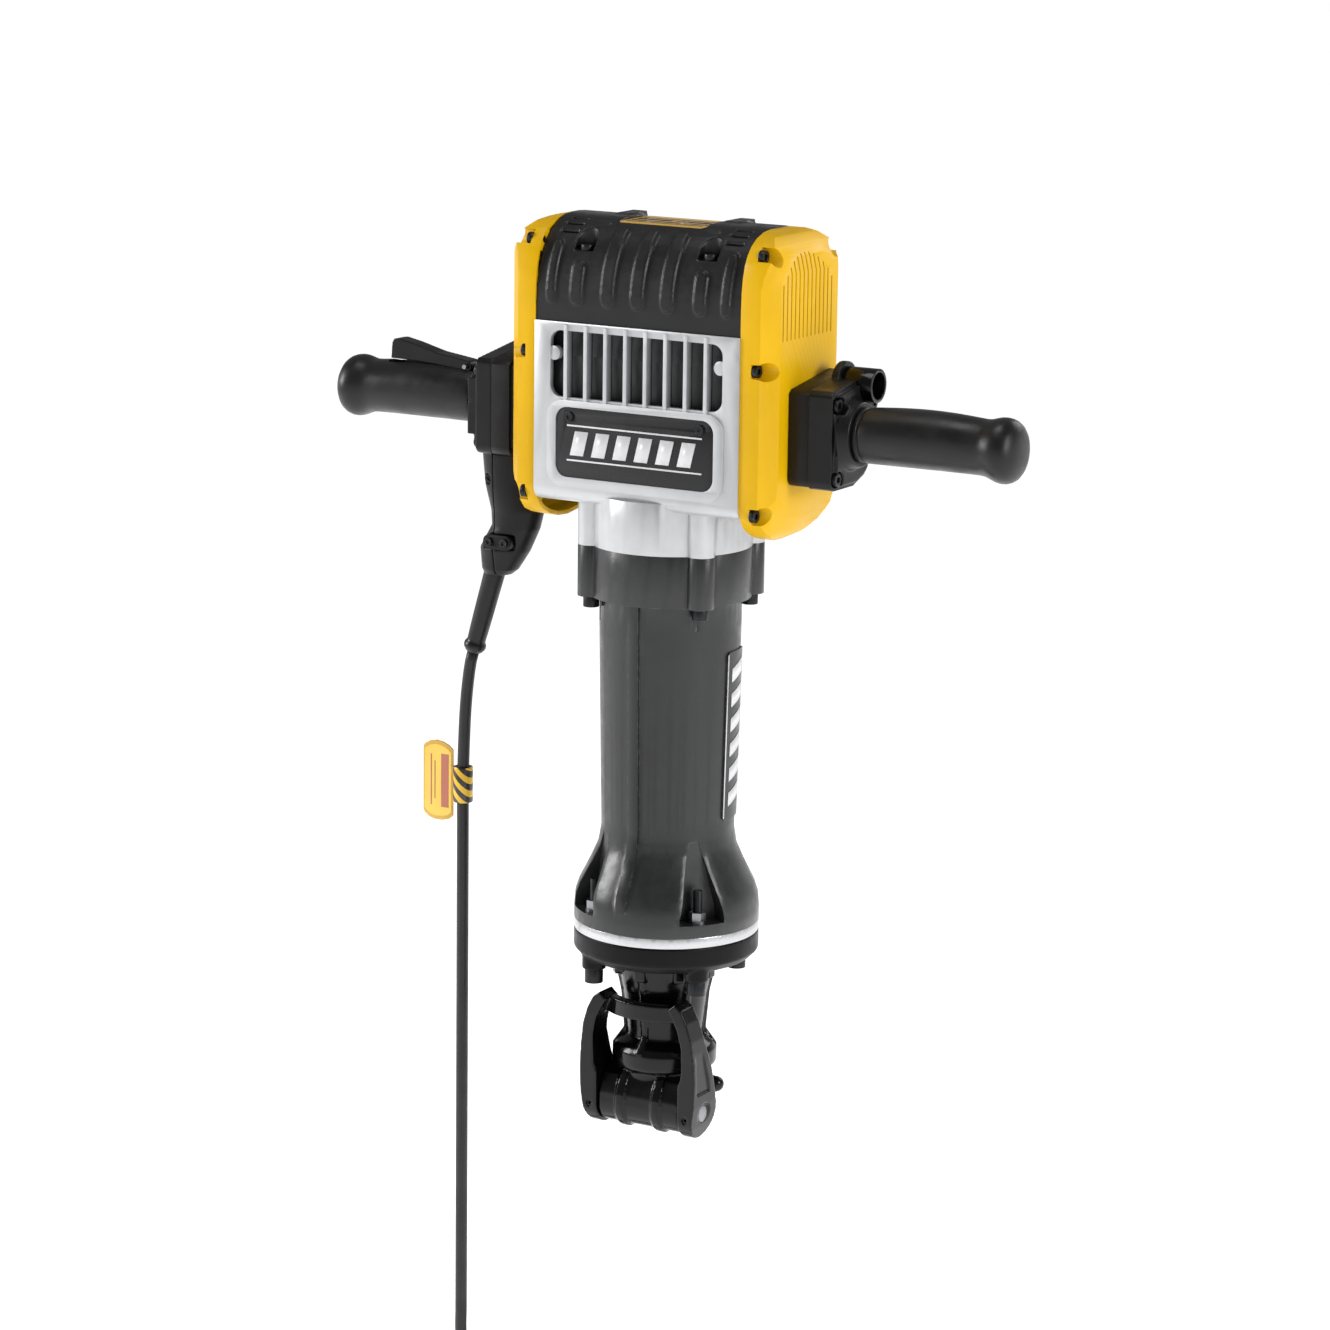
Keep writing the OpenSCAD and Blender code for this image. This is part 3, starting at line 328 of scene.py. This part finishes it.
YELLOW = srgb(222, 173, 0)
LOOK = {
    "yellow": moulded("yellow_plastic", YELLOW, 0.42, 0.3, 0.04, gloss=0.2),
    "top_plastic": moulded("charcoal_plastic", srgb(25, 25, 26), 0.38, 0.8, wear=srgb(84, 84, 84),
                           gloss=0.34),
    "black_plastic": moulded("black_plastic", srgb(20, 20, 21), 0.36, 0.7, wear=srgb(70, 70, 72),
                             gloss=0.24),
    "gloss_black": painted_casting("black_enamel", srgb(7, 7, 8), 0.17, 0.1, 0.2,
                                   srgb(70, 70, 72), gloss=0.26),
    "cast_grey": painted_casting("grey_casting", srgb(33, 34, 35), 0.34, 0.08, 0.5,
                                 srgb(110, 110, 112), gloss=0.5),
    "cast_dark": painted_casting("charcoal_casting", srgb(8, 8, 9), 0.36, 0.0, 0.4,
                                 srgb(76, 76, 78), gloss=0.16),
    "silver": bare_casting("blasted_aluminium", srgb(190, 191, 193), 0.4),
    "machined": turned("turned_steel", srgb(200, 200, 202), 0.24),
    "steel": turned("oiled_steel", srgb(150, 151, 154), 0.3, (50, 1, 1)),
    "bolt_black": black_oxide("black_oxide"),
    "rubber": rubber("grip_rubber", srgb(16, 16, 17), 0.4),
    "cord_rubber": rubber("cord_rubber", srgb(38, 38, 40), 0.45, 0.35),
    "label": moulded("label_film", srgb(28, 28, 30), 0.3, 0.1, 0.2, gloss=0.3),
    "tag": slanted("striped_film", srgb(240, 190, 30), srgb(30, 30, 30), 0.012),
    "lamination": stacked("laminations", srgb(150, 150, 155), 0.001),
    "copper": windings("copper_wire", srgb(196, 120, 66)),
}
PRINT_LIGHT = moulded("print_silver", srgb(214, 214, 216), 0.35, 0.1, 0.2)
PRINT_GOLD = moulded("print_gold", srgb(216, 170, 66), 0.38, 0.15, 0.2)
SLOT_OF = {part["node"]: part["material_slot"] for part in frame["record"]["subparts"]}


def paint(piece, look):
    piece.data.materials.clear()
    piece.data.materials.append(look)


for node_name, node in NODES.items():
    paint(node, LOOK[SLOT_OF[node_name]])
paint(NODES["top_label"], PRINT_GOLD)
paint(NODES["barrel_badge"], LOOK["cast_grey"])

# ---------------------------------------------------------------- edges of the CAD nodes


def bevelled(name, width, angle=38):
    """Small rounded edges on a precise part."""
    node = NODES[name]
    weld = node.modifiers.new("weld", "WELD")
    weld.merge_threshold = 0.00002
    flat = node.modifiers.new("flat", "DECIMATE")
    flat.decimate_type = "DISSOLVE"
    flat.angle_limit = math.radians(0.6)
    edge = node.modifiers.new("edge", "BEVEL")
    edge.width = width
    edge.segments = 2
    edge.limit_method = "ANGLE"
    edge.angle_limit = math.radians(angle)
    edge.harden_normals = True
    all_smooth(node)
    split = node.modifiers.new("split", "EDGE_SPLIT")
    split.split_angle = math.radians(34)


def cast_shape(name, voxel, rounds, keep=1.0):
    """The soft radii of a casting, forging or moulding: a fine remesh, then smoothing."""
    node = NODES[name]
    mesh = node.modifiers.new("skin", "REMESH")
    mesh.mode = "VOXEL"
    mesh.voxel_size = voxel * MM
    mesh.use_smooth_shade = True
    smooth = node.modifiers.new("soften", "SMOOTH")
    smooth.factor = 0.5
    smooth.iterations = rounds
    if keep < 1:
        thin = node.modifiers.new("thin", "DECIMATE")
        thin.ratio = keep


def all_smooth(piece):
    for face in piece.data.polygons:
        face.use_smooth = True


for node_name, voxel, rounds, keep in (
        ("latch", 0.9, 5, 0.5), ("nose_housing", 1.2, 4, 0.4), ("top_cover", 1.0, 3, 0.3),
        ("duct_outer", 0.8, 3, 0.5), ("duct_inner", 0.8, 3, 0.5), ("trigger", 0.6, 3, 0.5),
        ("front_flange", 1.3, 4, 0.4),
        ("bracket_right_cover", 0.9, 3, 0.35), ("bracket_left_cover", 0.9, 3, 0.35)):
    cast_shape(node_name, voxel, rounds, keep)
for node_name, width in (
        ("gear_housing", 0.9), ("barrel_housing", 0.9),
        ("side_cover_right", 1.2), ("side_cover_left", 1.2),
        ("spacer_ring", 0.5), ("bracket_right_base", 0.7), ("bracket_left_base", 0.7),
        ("bracket_left_body", 0.7), ("collar_bolts", 0.4), ("flange_bolts", 0.4),
        ("bracket_screws", 0.3), ("side_cover_screws", 0.3), ("top_cover_screws", 0.3),
        ("cable_clamp", 0.5), ("accessory_tube", 0.5), ("nameplate", 0.3), ("latch_pin", 0.4)):
    bevelled(node_name, width * MM)

# ---------------------------------------------------------------- pieces made here


def finish_piece(name, shape, look, replaced=(), body="root", sharp=None):
    """A bmesh, in metres and in the row frame, becomes a piece that rides on a body."""
    mesh = bpy.data.meshes.new(name)
    bmesh.ops.recalc_face_normals(shape, faces=shape.faces)
    shape.to_mesh(mesh)
    shape.free()
    piece = bpy.data.objects.new(name, mesh)
    bpy.context.scene.collection.objects.link(piece)
    paint(piece, look)
    all_smooth(piece)
    if sharp:
        split = piece.modifiers.new("split", "EDGE_SPLIT")
        split.split_angle = math.radians(sharp)
    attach(piece, body)
    if replaced:
        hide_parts(*replaced)
    return piece


def axis_frame(origin, direction):
    """Local Z along direction, starting at origin, both in millimetres."""
    turn = Vector(direction).to_track_quat("Z", "Y").to_matrix().to_4x4()
    return Matrix.Translation(mm(*origin)) @ turn


def lathe(shape, outline, place, sides=72):
    """Turns an outline of (along, radius) in millimetres round the local Z axis of place."""
    rings = []
    for along, radius in outline:
        if radius < 1e-6:
            rings.append([shape.verts.new(place @ mm(0, 0, along))])
            continue
        rings.append([shape.verts.new(place @ mm(radius * math.cos(math.tau * k / sides),
                                                 radius * math.sin(math.tau * k / sides), along))
                      for k in range(sides)])
    for a, b in zip(rings, rings[1:]):
        for k in range(sides):
            n = (k + 1) % sides
            if len(a) == 1 and len(b) > 1:
                shape.faces.new((a[0], b[k], b[n]))
            elif len(b) == 1 and len(a) > 1:
                shape.faces.new((a[k], b[0], a[n]))
            elif len(a) > 1:
                shape.faces.new((a[k], b[k], b[n], a[n]))
    return rings


def slab(shape, outline, thickness, place):
    """A plate: an outline of (x, y) in millimetres, from local z 0 up to thickness."""
    low = [shape.verts.new(place @ mm(x, y, 0)) for x, y in outline]
    high = [shape.verts.new(place @ mm(x, y, thickness)) for x, y in outline]
    shape.faces.new(list(reversed(low)))
    shape.faces.new(high)
    for k in range(len(outline)):
        n = (k + 1) % len(outline)
        shape.faces.new((low[k], low[n], high[n], high[k]))


def round_box(x0, x1, y0, y1, radius, steps=6):
    """The outline of a rectangle with round corners."""
    points = []
    for cx, cy, start in ((x1 - radius, y1 - radius, 0), (x0 + radius, y1 - radius, 90),
                          (x0 + radius, y0 + radius, 180), (x1 - radius, y0 + radius, 270)):
        for k in range(steps + 1):
            a = math.radians(start + 90 * k / steps)
            points.append((cx + radius * math.cos(a), cy + radius * math.sin(a)))
    return points


def tube(shape, path, radius, sides=12):
    """A round tube along points in metres, turned as little as possible."""
    side = None
    rings = []
    for i, point in enumerate(path):
        ahead = (path[min(i + 1, len(path) - 1)] - path[max(i - 1, 0)]).normalized()
        if side is None:
            side = ahead.orthogonal().normalized()
        side = (side - ahead * side.dot(ahead)).normalized()
        across = ahead.cross(side)
        rings.append([shape.verts.new(point + (side * math.cos(math.tau * k / sides)
                                               + across * math.sin(math.tau * k / sides)) * radius)
                      for k in range(sides)])
    for a, b in zip(rings, rings[1:]):
        for k in range(sides):
            n = (k + 1) % sides
            shape.faces.new((a[k], a[n], b[n], b[k]))
    shape.faces.new(list(reversed(rings[0])))
    shape.faces.new(rings[-1])


def smooth_path(points, step):
    """A centripetal Catmull-Rom curve through points in metres, a point every step or so."""
    ends = [points[0] * 2 - points[1]] + list(points) + [points[-1] * 2 - points[-2]]
    made = [points[0]]
    for p0, p1, p2, p3 in zip(ends, ends[1:], ends[2:], ends[3:]):
        t0 = 0.0
        t1 = t0 + max(1e-9, (p1 - p0).length) ** 0.5
        t2 = t1 + (p2 - p1).length ** 0.5
        t3 = t2 + max(1e-9, (p3 - p2).length) ** 0.5
        count = max(1, round((p2 - p1).length / step))
        for k in range(1, count + 1):
            t = t1 + (t2 - t1) * k / count
            a1 = p0 * ((t1 - t) / (t1 - t0)) + p1 * ((t - t0) / (t1 - t0))
            a2 = p1 * ((t2 - t) / (t2 - t1)) + p2 * ((t - t1) / (t2 - t1))
            a3 = p2 * ((t3 - t) / (t3 - t2)) + p3 * ((t - t2) / (t3 - t2))
            b1 = a1 * ((t2 - t) / (t2 - t0)) + a2 * ((t - t0) / (t2 - t0))
            b2 = a2 * ((t3 - t) / (t3 - t1)) + a3 * ((t - t1) / (t3 - t1))
            made.append(b1 * ((t2 - t) / (t2 - t1)) + b2 * ((t - t1) / (t2 - t1)))
    return made


# The cord: its route down to the floor, then a coil of turns, as in the CAD source

GROUND = round(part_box("coil_tie")[0].z / MM)
CORD_D = 11
COIL_R = 72.5
COIL_X = -150
COIL_Y = COIL_R + CORD_D - 5
LAYER_Z = [GROUND + 2 + CORD_D * (n + 0.5) for n in (3, 2, 1, 0)]
ROUTE = [(-198, 391.8), (-201.2, 380), (-204, 362), (-206.3, 340), (-208, 308), (-209, 270),
         (-209, 235), (-209, 200), (-209, 160), (-209, 120), (-209, 80), (-209, 40), (-209, 0),
         (-209, -40), (-209, -80), (-209, -120), (-209, -160), (-209, -200), (-209, -230)]
BEND = [(-209, 55.5), (-205, 33.5), (-193, 16.5), (-175, 4.5), (-154, 0)]


def coil_points():
    """Turns beside and on each other; between turns the cord steps across in a short window."""
    rings = []
    order = [COIL_R + CORD_D, COIL_R, COIL_R - CORD_D]
    for n, z in enumerate(LAYER_Z):
        rings += [(r, z) for r in (order if n % 2 == 0 else order[::-1])]
    points = []
    steps = 40
    for n, (r, z) in enumerate(rings):
        last = n == len(rings) - 1
        r2, z2 = rings[n] if last else rings[n + 1]
        for k in range(steps // 2 + 1 if last else steps):
            t = max(0.0, min(1.0, (k / steps - 0.8) / 0.2))
            t = t * t * (3 - 2 * t)
            bulge = 0.0 if z == z2 else math.sin(math.pi * t) * (5 if r > COIL_R else -5)
            radius = r + (r2 - r) * t + bulge
            a = math.radians(-90 + 360 * k / steps)
            points.append(mm(COIL_X + radius * math.cos(a), COIL_Y + radius * math.sin(a),
                             z + (z2 - z) * t))
    return points


def make_cord():
    hanging = [mm(x, -5, z) for x, z in ROUTE] + [mm(x, -5, LAYER_Z[0] + dz) for x, dz in BEND]
    coil = coil_points()
    path = smooth_path(hanging + coil[:1], 0.012)[:-1] + coil
    for k in range(1, 5):
        path.append(path[len(path) - 1] + mm(-7, 0, 0))
    shape = bmesh.new()
    tube(shape, path, CORD_D * MM / 2)
    cord = finish_piece("mains_cord", shape, LOOK["cord_rubber"],
                        ("cord", "cord_coil"))
    return cord, path


def make_relief():
    """Moulded sleeve round the cord where it leaves the duct, with a bead at its end."""
    tilt = math.radians(16.65)
    place = axis_frame((-175.5, -5, 467), (-math.sin(tilt), 0, -math.cos(tilt)))
    outline = [(-6, 0), (-6, 9), (-5.4, 9.6), (6, 9.5), (24, 9.2), (45, 8.9), (60, 8.6), (68, 8.3),
               (70.2, 8.3), (71.4, 9), (72.8, 9.8), (75, 10.1), (77, 9.6), (78.4, 8.6), (80, 7.5),
               (80, 5.5), (78, 5.5), (78, 0)]
    shape = bmesh.new()
    lathe(shape, outline, place, 48)
    return finish_piece("cord_sleeve", shape, LOOK["rubber"], ("strain_relief",),
                        sharp=50)


def make_tie():
    """A strap round the turns of the coil."""
    shape = bmesh.new()
    angle = math.radians(26)
    place = (Matrix.Translation(mm(COIL_X, COIL_Y, 0)) @ Matrix.Rotation(angle, 4, "Z")
             @ Matrix.Rotation(math.radians(90), 4, "X") @ Matrix.Translation(mm(0, 0, -8)))
    half = 1.5 * CORD_D
    x0, x1 = COIL_R - half, COIL_R + half
    y0, y1 = GROUND + 2, GROUND + 2 + 4 * CORD_D
    outer = round_box(x0 - 1.8, x1 + 1.8, y0 - 1.8, y1 + 1.8, 6)
    inner = round_box(x0 - 0.1, x1 + 0.1, y0 - 0.1, y1 + 0.1, 4.5)
    loops = [[shape.verts.new(place @ mm(x, y, z)) for x, y in line]
             for line, z in ((outer, 0), (outer, 16), (inner, 16), (inner, 0))]
    for a, b in zip(loops, loops[1:] + loops[:1]):
        for k in range(len(outer)):
            n = (k + 1) % len(outer)
            shape.faces.new((a[k], a[n], b[n], b[k]))
    return finish_piece("coil_strap", shape, LOOK["rubber"], ("coil_tie",), sharp=40)


def make_plug():
    """Moulded plug with finger rings, two flat blades and an earth pin."""
    place = axis_frame((COIL_X - 28, COIL_Y + COIL_R + CORD_D, GROUND + 14.5), (-1, 0, 0))
    outline = [(0, 0), (0, 5.5), (0.6, 6.2)]
    for k in range(5):
        z = 3 + k * 5.4
        r = 6.4 + k * 0.5
        outline += [(z, r), (z + 0.5, r - 0.9), (z + 1.9, r - 0.9), (z + 2.4, r)]
    outline += [(31, 9.4), (33.5, 11), (36, 13), (39, 14.1), (44, 14.5), (48, 14.2), (51, 13.7),
                (54, 14.2), (57, 13.7), (60, 14.2), (63, 13.9), (68, 14.5), (72, 14.4),
                (73.6, 13.2), (74, 12.4), (74, 0)]
    shape = bmesh.new()
    lathe(shape, outline, place, 48)
    plug = finish_piece("plug_body", shape, LOOK["rubber"], ("plug",), sharp=50)
    shape = bmesh.new()
    for side in (-6, 6):
        blade = place @ Matrix.Translation(mm(0, 0, 72))
        outline = [(4, side - 0.8), (4, side + 0.8), (-4, side + 0.8), (-4, side - 0.8)]
        slab(shape, [(y, x) for x, y in outline], 18.6, blade)
    earth = place @ Matrix.Translation(mm(0, 6.5, 0))
    lathe(shape, [(72, 0), (72, 2.4), (90, 2.4), (92, 1.9), (93, 1), (93, 0)], earth, 24)
    pins = finish_piece("plug_pins", shape, LOOK["steel"], sharp=40)
    return [plug, pins]


def make_tag():
    """A striped band round the cord and a plain printed flag beside it."""
    shape = bmesh.new()
    place = Matrix.Translation(mm(-209, -5, 0))
    lathe(shape, [(251.5, 6.0), (251, 8.6), (251.8, 9), (282.2, 9), (283, 8.6), (282.5, 6.0),
                  (251.5, 6.0)], place, 48)
    upright = Matrix.Rotation(math.radians(90), 4, "X")
    slab(shape, [(-215.5, 251.6), (-227, 251.6), (-227, 282.4), (-215.5, 282.4)], 1.2,
         Matrix.Translation(mm(0, -4.5, 0)) @ upright)
    band = finish_piece("tag_band", shape, LOOK["tag"], ("cord_tag",), sharp=40)
    outline = [(-223.5, 232.6), (-219.4, 236), (-219.4, 297), (-223.5, 300.4), (-230, 303),
               (-237, 304), (-244, 302.6), (-249.4, 299.4), (-250.6, 297), (-250.6, 239),
               (-249.4, 236), (-244, 232.2), (-237, 230.6), (-230, 231)]
    shape = bmesh.new()
    slab(shape, outline, 1.8, Matrix.Translation(mm(0, -4.2, 0)) @ upright)
    bevel_all(shape, 0.25)
    rim = finish_piece("tag_flag", shape, PRINT_GOLD, sharp=40)
    centre = Vector((-235, 267.3))
    shrunk = [tuple(centre + (Vector(p) - centre) * 0.9) for p in outline]
    shape = bmesh.new()
    slab(shape, shrunk, 1.25, Matrix.Translation(mm(0, -5, 0)) @ upright)
    field = finish_piece("tag_field", shape, TAG_YELLOW, sharp=40)
    shape = bmesh.new()
    for x0, x1, z0, z1 in ((-231.5, -223.5, 243, 292), (-242.6, -241.4, 244, 291),
                           (-238.6, -237.6, 250, 285)):
        slab(shape, [(x0, z0), (x1, z0), (x1, z1), (x0, z1)], 1.2,
             Matrix.Translation(mm(0, -5.2, 0)) @ upright)
    bars = finish_piece("tag_bars", shape, TAG_BAR, sharp=40)
    return [band, rim, field, bars]


def bevel_all(shape, width, segments=2):
    bmesh.ops.bevel(shape, geom=list(shape.edges), offset=width * MM, segments=segments,
                    affect="EDGES", profile=0.7, clamp_overlap=True)


TAG_YELLOW = moulded("tag_yellow", srgb(244, 204, 84), 0.35, 0.1, 0.3)
TAG_BAR = moulded("tag_bar", srgb(186, 110, 88), 0.4, 0.1, 0.2)
CORD, CORD_PATH = make_cord()
ON_CORD = [make_relief(), make_tie()] + make_plug() + make_tag()


# Rubber grips


def make_grip(side, name, replaced):
    """A hollow rubber grip; along its length it swells a little, then ends in a round knob."""
    length = 147.5
    outline = [(length - 6, 0), (length - 6, 14.1), (0, 14.1), (0, 21.6), (0.8, 22.6), (1.8, 23.0),
               (3.4, 23.0), (4.0, 22.2), (5.0, 22.2), (5.7, 23.1), (8, 23.6)]
    outline += [(8 + 102 * k / 16, 23.6 + 1.2 * math.sin(math.pi * k / 16)) for k in range(1, 17)]
    outline += [(113.5, 23.6), (117, 23.9), (120.5, 24.9), (124, 26.1), (127.5, 27.1), (131, 27.5),
                (134.5, 27.2), (138, 26.1), (141, 24.2), (143.6, 21), (145.6, 16.6), (146.8, 11),
                (147.4, 5.5), (147.5, 0)]
    shape = bmesh.new()
    lathe(shape, outline, axis_frame((side * 186, -5, 619), (side, 0, 0)), 96)
    # The rubber arches a little between the bracket and the knob
    for corner in shape.verts:
        t = (abs(corner.co.x) / MM - 186) / length
        corner.co.z += (1.9 * math.sin(math.pi * min(t / 0.9, 1)) - 1.4 * t ** 3) * MM
    return finish_piece(name, shape, LOOK["rubber"], (replaced,), sharp=45)


def cut_away(piece, cutter):
    """Subtracts one mesh from another for good."""
    cut = piece.modifiers.new("cut", "BOOLEAN")
    cut.operation = "DIFFERENCE"
    cut.solver = "EXACT"
    cut.object = cutter
    piece.modifiers.move(len(piece.modifiers) - 1, 0)
    seen = piece.evaluated_get(bpy.context.evaluated_depsgraph_get())
    solid = bpy.data.meshes.new_from_object(seen)
    piece.modifiers.clear()
    piece.data = solid
    bpy.data.objects.remove(cutter)


make_grip(1, "rubber_grip_right", "grip_right")
LEFT_GRIP = make_grip(-1, "rubber_grip_left", "grip_left")
slot_shape = bmesh.new()
slab(slot_shape, round_box(-285, -193, -14, 4, 4), 30, Matrix.Translation(mm(0, 0, 632)))
slot_mesh = bpy.data.meshes.new("slot")
bmesh.ops.recalc_face_normals(slot_shape, faces=slot_shape.faces)
slot_shape.to_mesh(slot_mesh)
slot_shape.free()
SLOT_CUTTER = bpy.data.objects.new("slot", slot_mesh)
bpy.context.scene.collection.objects.link(SLOT_CUTTER)
cut_away(LEFT_GRIP, SLOT_CUTTER)


# Printed graphics: plain bars and lines where the real ones carry words

BADGE_FOOT_Z = 258       # the badge's lower end, and its length above that
BADGE_LENGTH = 182
BADGE_FOOT_R = 59.5      # radius of its round face at the lower and at the upper end
BADGE_TOP_R = 63.1
PRINT_LIFT = 0.12        # the print starts this far off the badge's face


def make_prints():
    plate = Matrix.Translation(mm(0, -66.2, 0)) @ Matrix.Rotation(math.radians(90), 4, "X")
    shape = bmesh.new()
    for z0 in (582.1, 611.9):
        slab(shape, [(-66, z0), (66, z0), (66, z0 + 1.4), (-66, z0 + 1.4)], 0.35, plate)
    for k in range(6):
        x = -63 + k * 21
        slab(shape, [(x, 587), (x + 13, 587), (x + 18, 608), (x + 5, 608)], 0.35, plate)
    finish_piece("nameplate_print", shape, PRINT_LIGHT)
    top = Matrix.Translation(mm(0, 0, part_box("top_label")[1].z / MM))
    shape = bmesh.new()
    for x0, x1, y0, y1 in ((-37, 37, 10, 12), (-37, -4, -2, 5), (0, 37, -2, 5), (-37, 10, -12, -8),
                           (14, 37, -12, -8), (-37, 37, -20, -18)):
        slab(shape, [(x0, y0), (x1, y0), (x1, y1), (x0, y1)], 0.25, top)
    finish_piece("top_label_print", shape, LOOK["label"])
    # Badge on the barrel: slanted bars that follow its round face
    shape = bmesh.new()
    cells = [(-7.8, -6.6, 272, 417, 0)]
    cells += [(-1, 22, 282 + 22 * k, 294 + 22 * k, 7) for k in range(6)]
    for y0, y1, z0, z1, lean in cells:
        steps = 10
        for k in range(steps):
            corners = []
            for j in (k, k + 1):
                y = y0 + (y1 - y0) * j / steps
                rise = lean * j / steps
                for z in (z0 + rise, z1 + rise):
                    along = (z - BADGE_FOOT_Z) / BADGE_LENGTH
                    r = BADGE_FOOT_R + (BADGE_TOP_R - BADGE_FOOT_R) * along + PRINT_LIFT
                    corners.append(shape.verts.new(mm((r * r - y * y) ** 0.5, y, z)))
            shape.faces.new((corners[0], corners[2], corners[3], corners[1]))
    bmesh.ops.remove_doubles(shape, verts=shape.verts, dist=1e-6)
    body = bmesh.ops.extrude_face_region(shape, geom=list(shape.faces))
    for corner in body["geom"]:
        if isinstance(corner, bmesh.types.BMVert):
            corner.co.x += 0.3 * MM
    finish_piece("badge_print", shape, PRINT_LIGHT)


make_prints()

# ---------------------------------------------------------------- studio


def area_light(name, place, target, size, power, size_y=None):
    data = bpy.data.lights.new(name, "AREA")
    data.energy = power
    data.size = size
    if size_y:
        data.shape = "RECTANGLE"
        data.size_y = size_y
    lamp = bpy.data.objects.new(name, data)
    lamp.location = place
    lamp.rotation_euler = (Vector(target) - Vector(place)).to_track_quat("-Z", "Y").to_euler()
    bpy.context.scene.collection.objects.link(lamp)




def make_studio():
    world = bpy.data.worlds.new("studio")
    world.use_nodes = True
    nodes, links = world.node_tree.nodes, world.node_tree.links
    place = nodes.new("ShaderNodeTexCoord")
    parts = nodes.new("ShaderNodeSeparateXYZ")
    sky = nodes.new("ShaderNodeMapRange")
    for key, value in (("From Min", -0.02), ("From Max", 0.25), ("To Min", 1.0), ("To Max", 0.18)):
        sky.inputs[key].default_value = value
    links.new(place.outputs["Generated"], parts.inputs[0])
    links.new(parts.outputs["Z"], sky.inputs["Value"])
    links.new(sky.outputs["Result"], nodes["Background"].inputs["Strength"])
    nodes["Background"].inputs["Color"].default_value = (1, 1, 1, 1)
    bpy.context.scene.world = world
    bpy.context.scene.view_settings.view_transform = "Standard"
    area_light("key", (-2.5, -1.05, 1.25), (-0.1, 0, 0.45), 1.0, 48)
    area_light("fill", (2.6, -0.4, 1.4), (0, 0, 0.5), 1.0, 40)
    area_light("top", (-0.2, -0.3, 2.8), (0, 0, 0.5), 1.0, 14)
    area_light("back", (0.8, 2.6, 1.8), (0, 0, 0.5), 1.4, 18)
    bpy.ops.mesh.primitive_plane_add(size=40, location=(0, 0, GROUND * MM))
    floor = bpy.context.object
    floor.name = "floor"
    s = Shader("floor_paint")
    s.colour(s.mix(s.noise(3, 2), (0.8, 0.8, 0.8, 1), (0.84, 0.84, 0.84, 1)))
    s.set(Roughness=0.9, Emission_Strength=0.86)
    s.surface.inputs["Emission Color"].default_value = (1, 1, 1, 1)
    paint(floor, s.material)


make_studio()
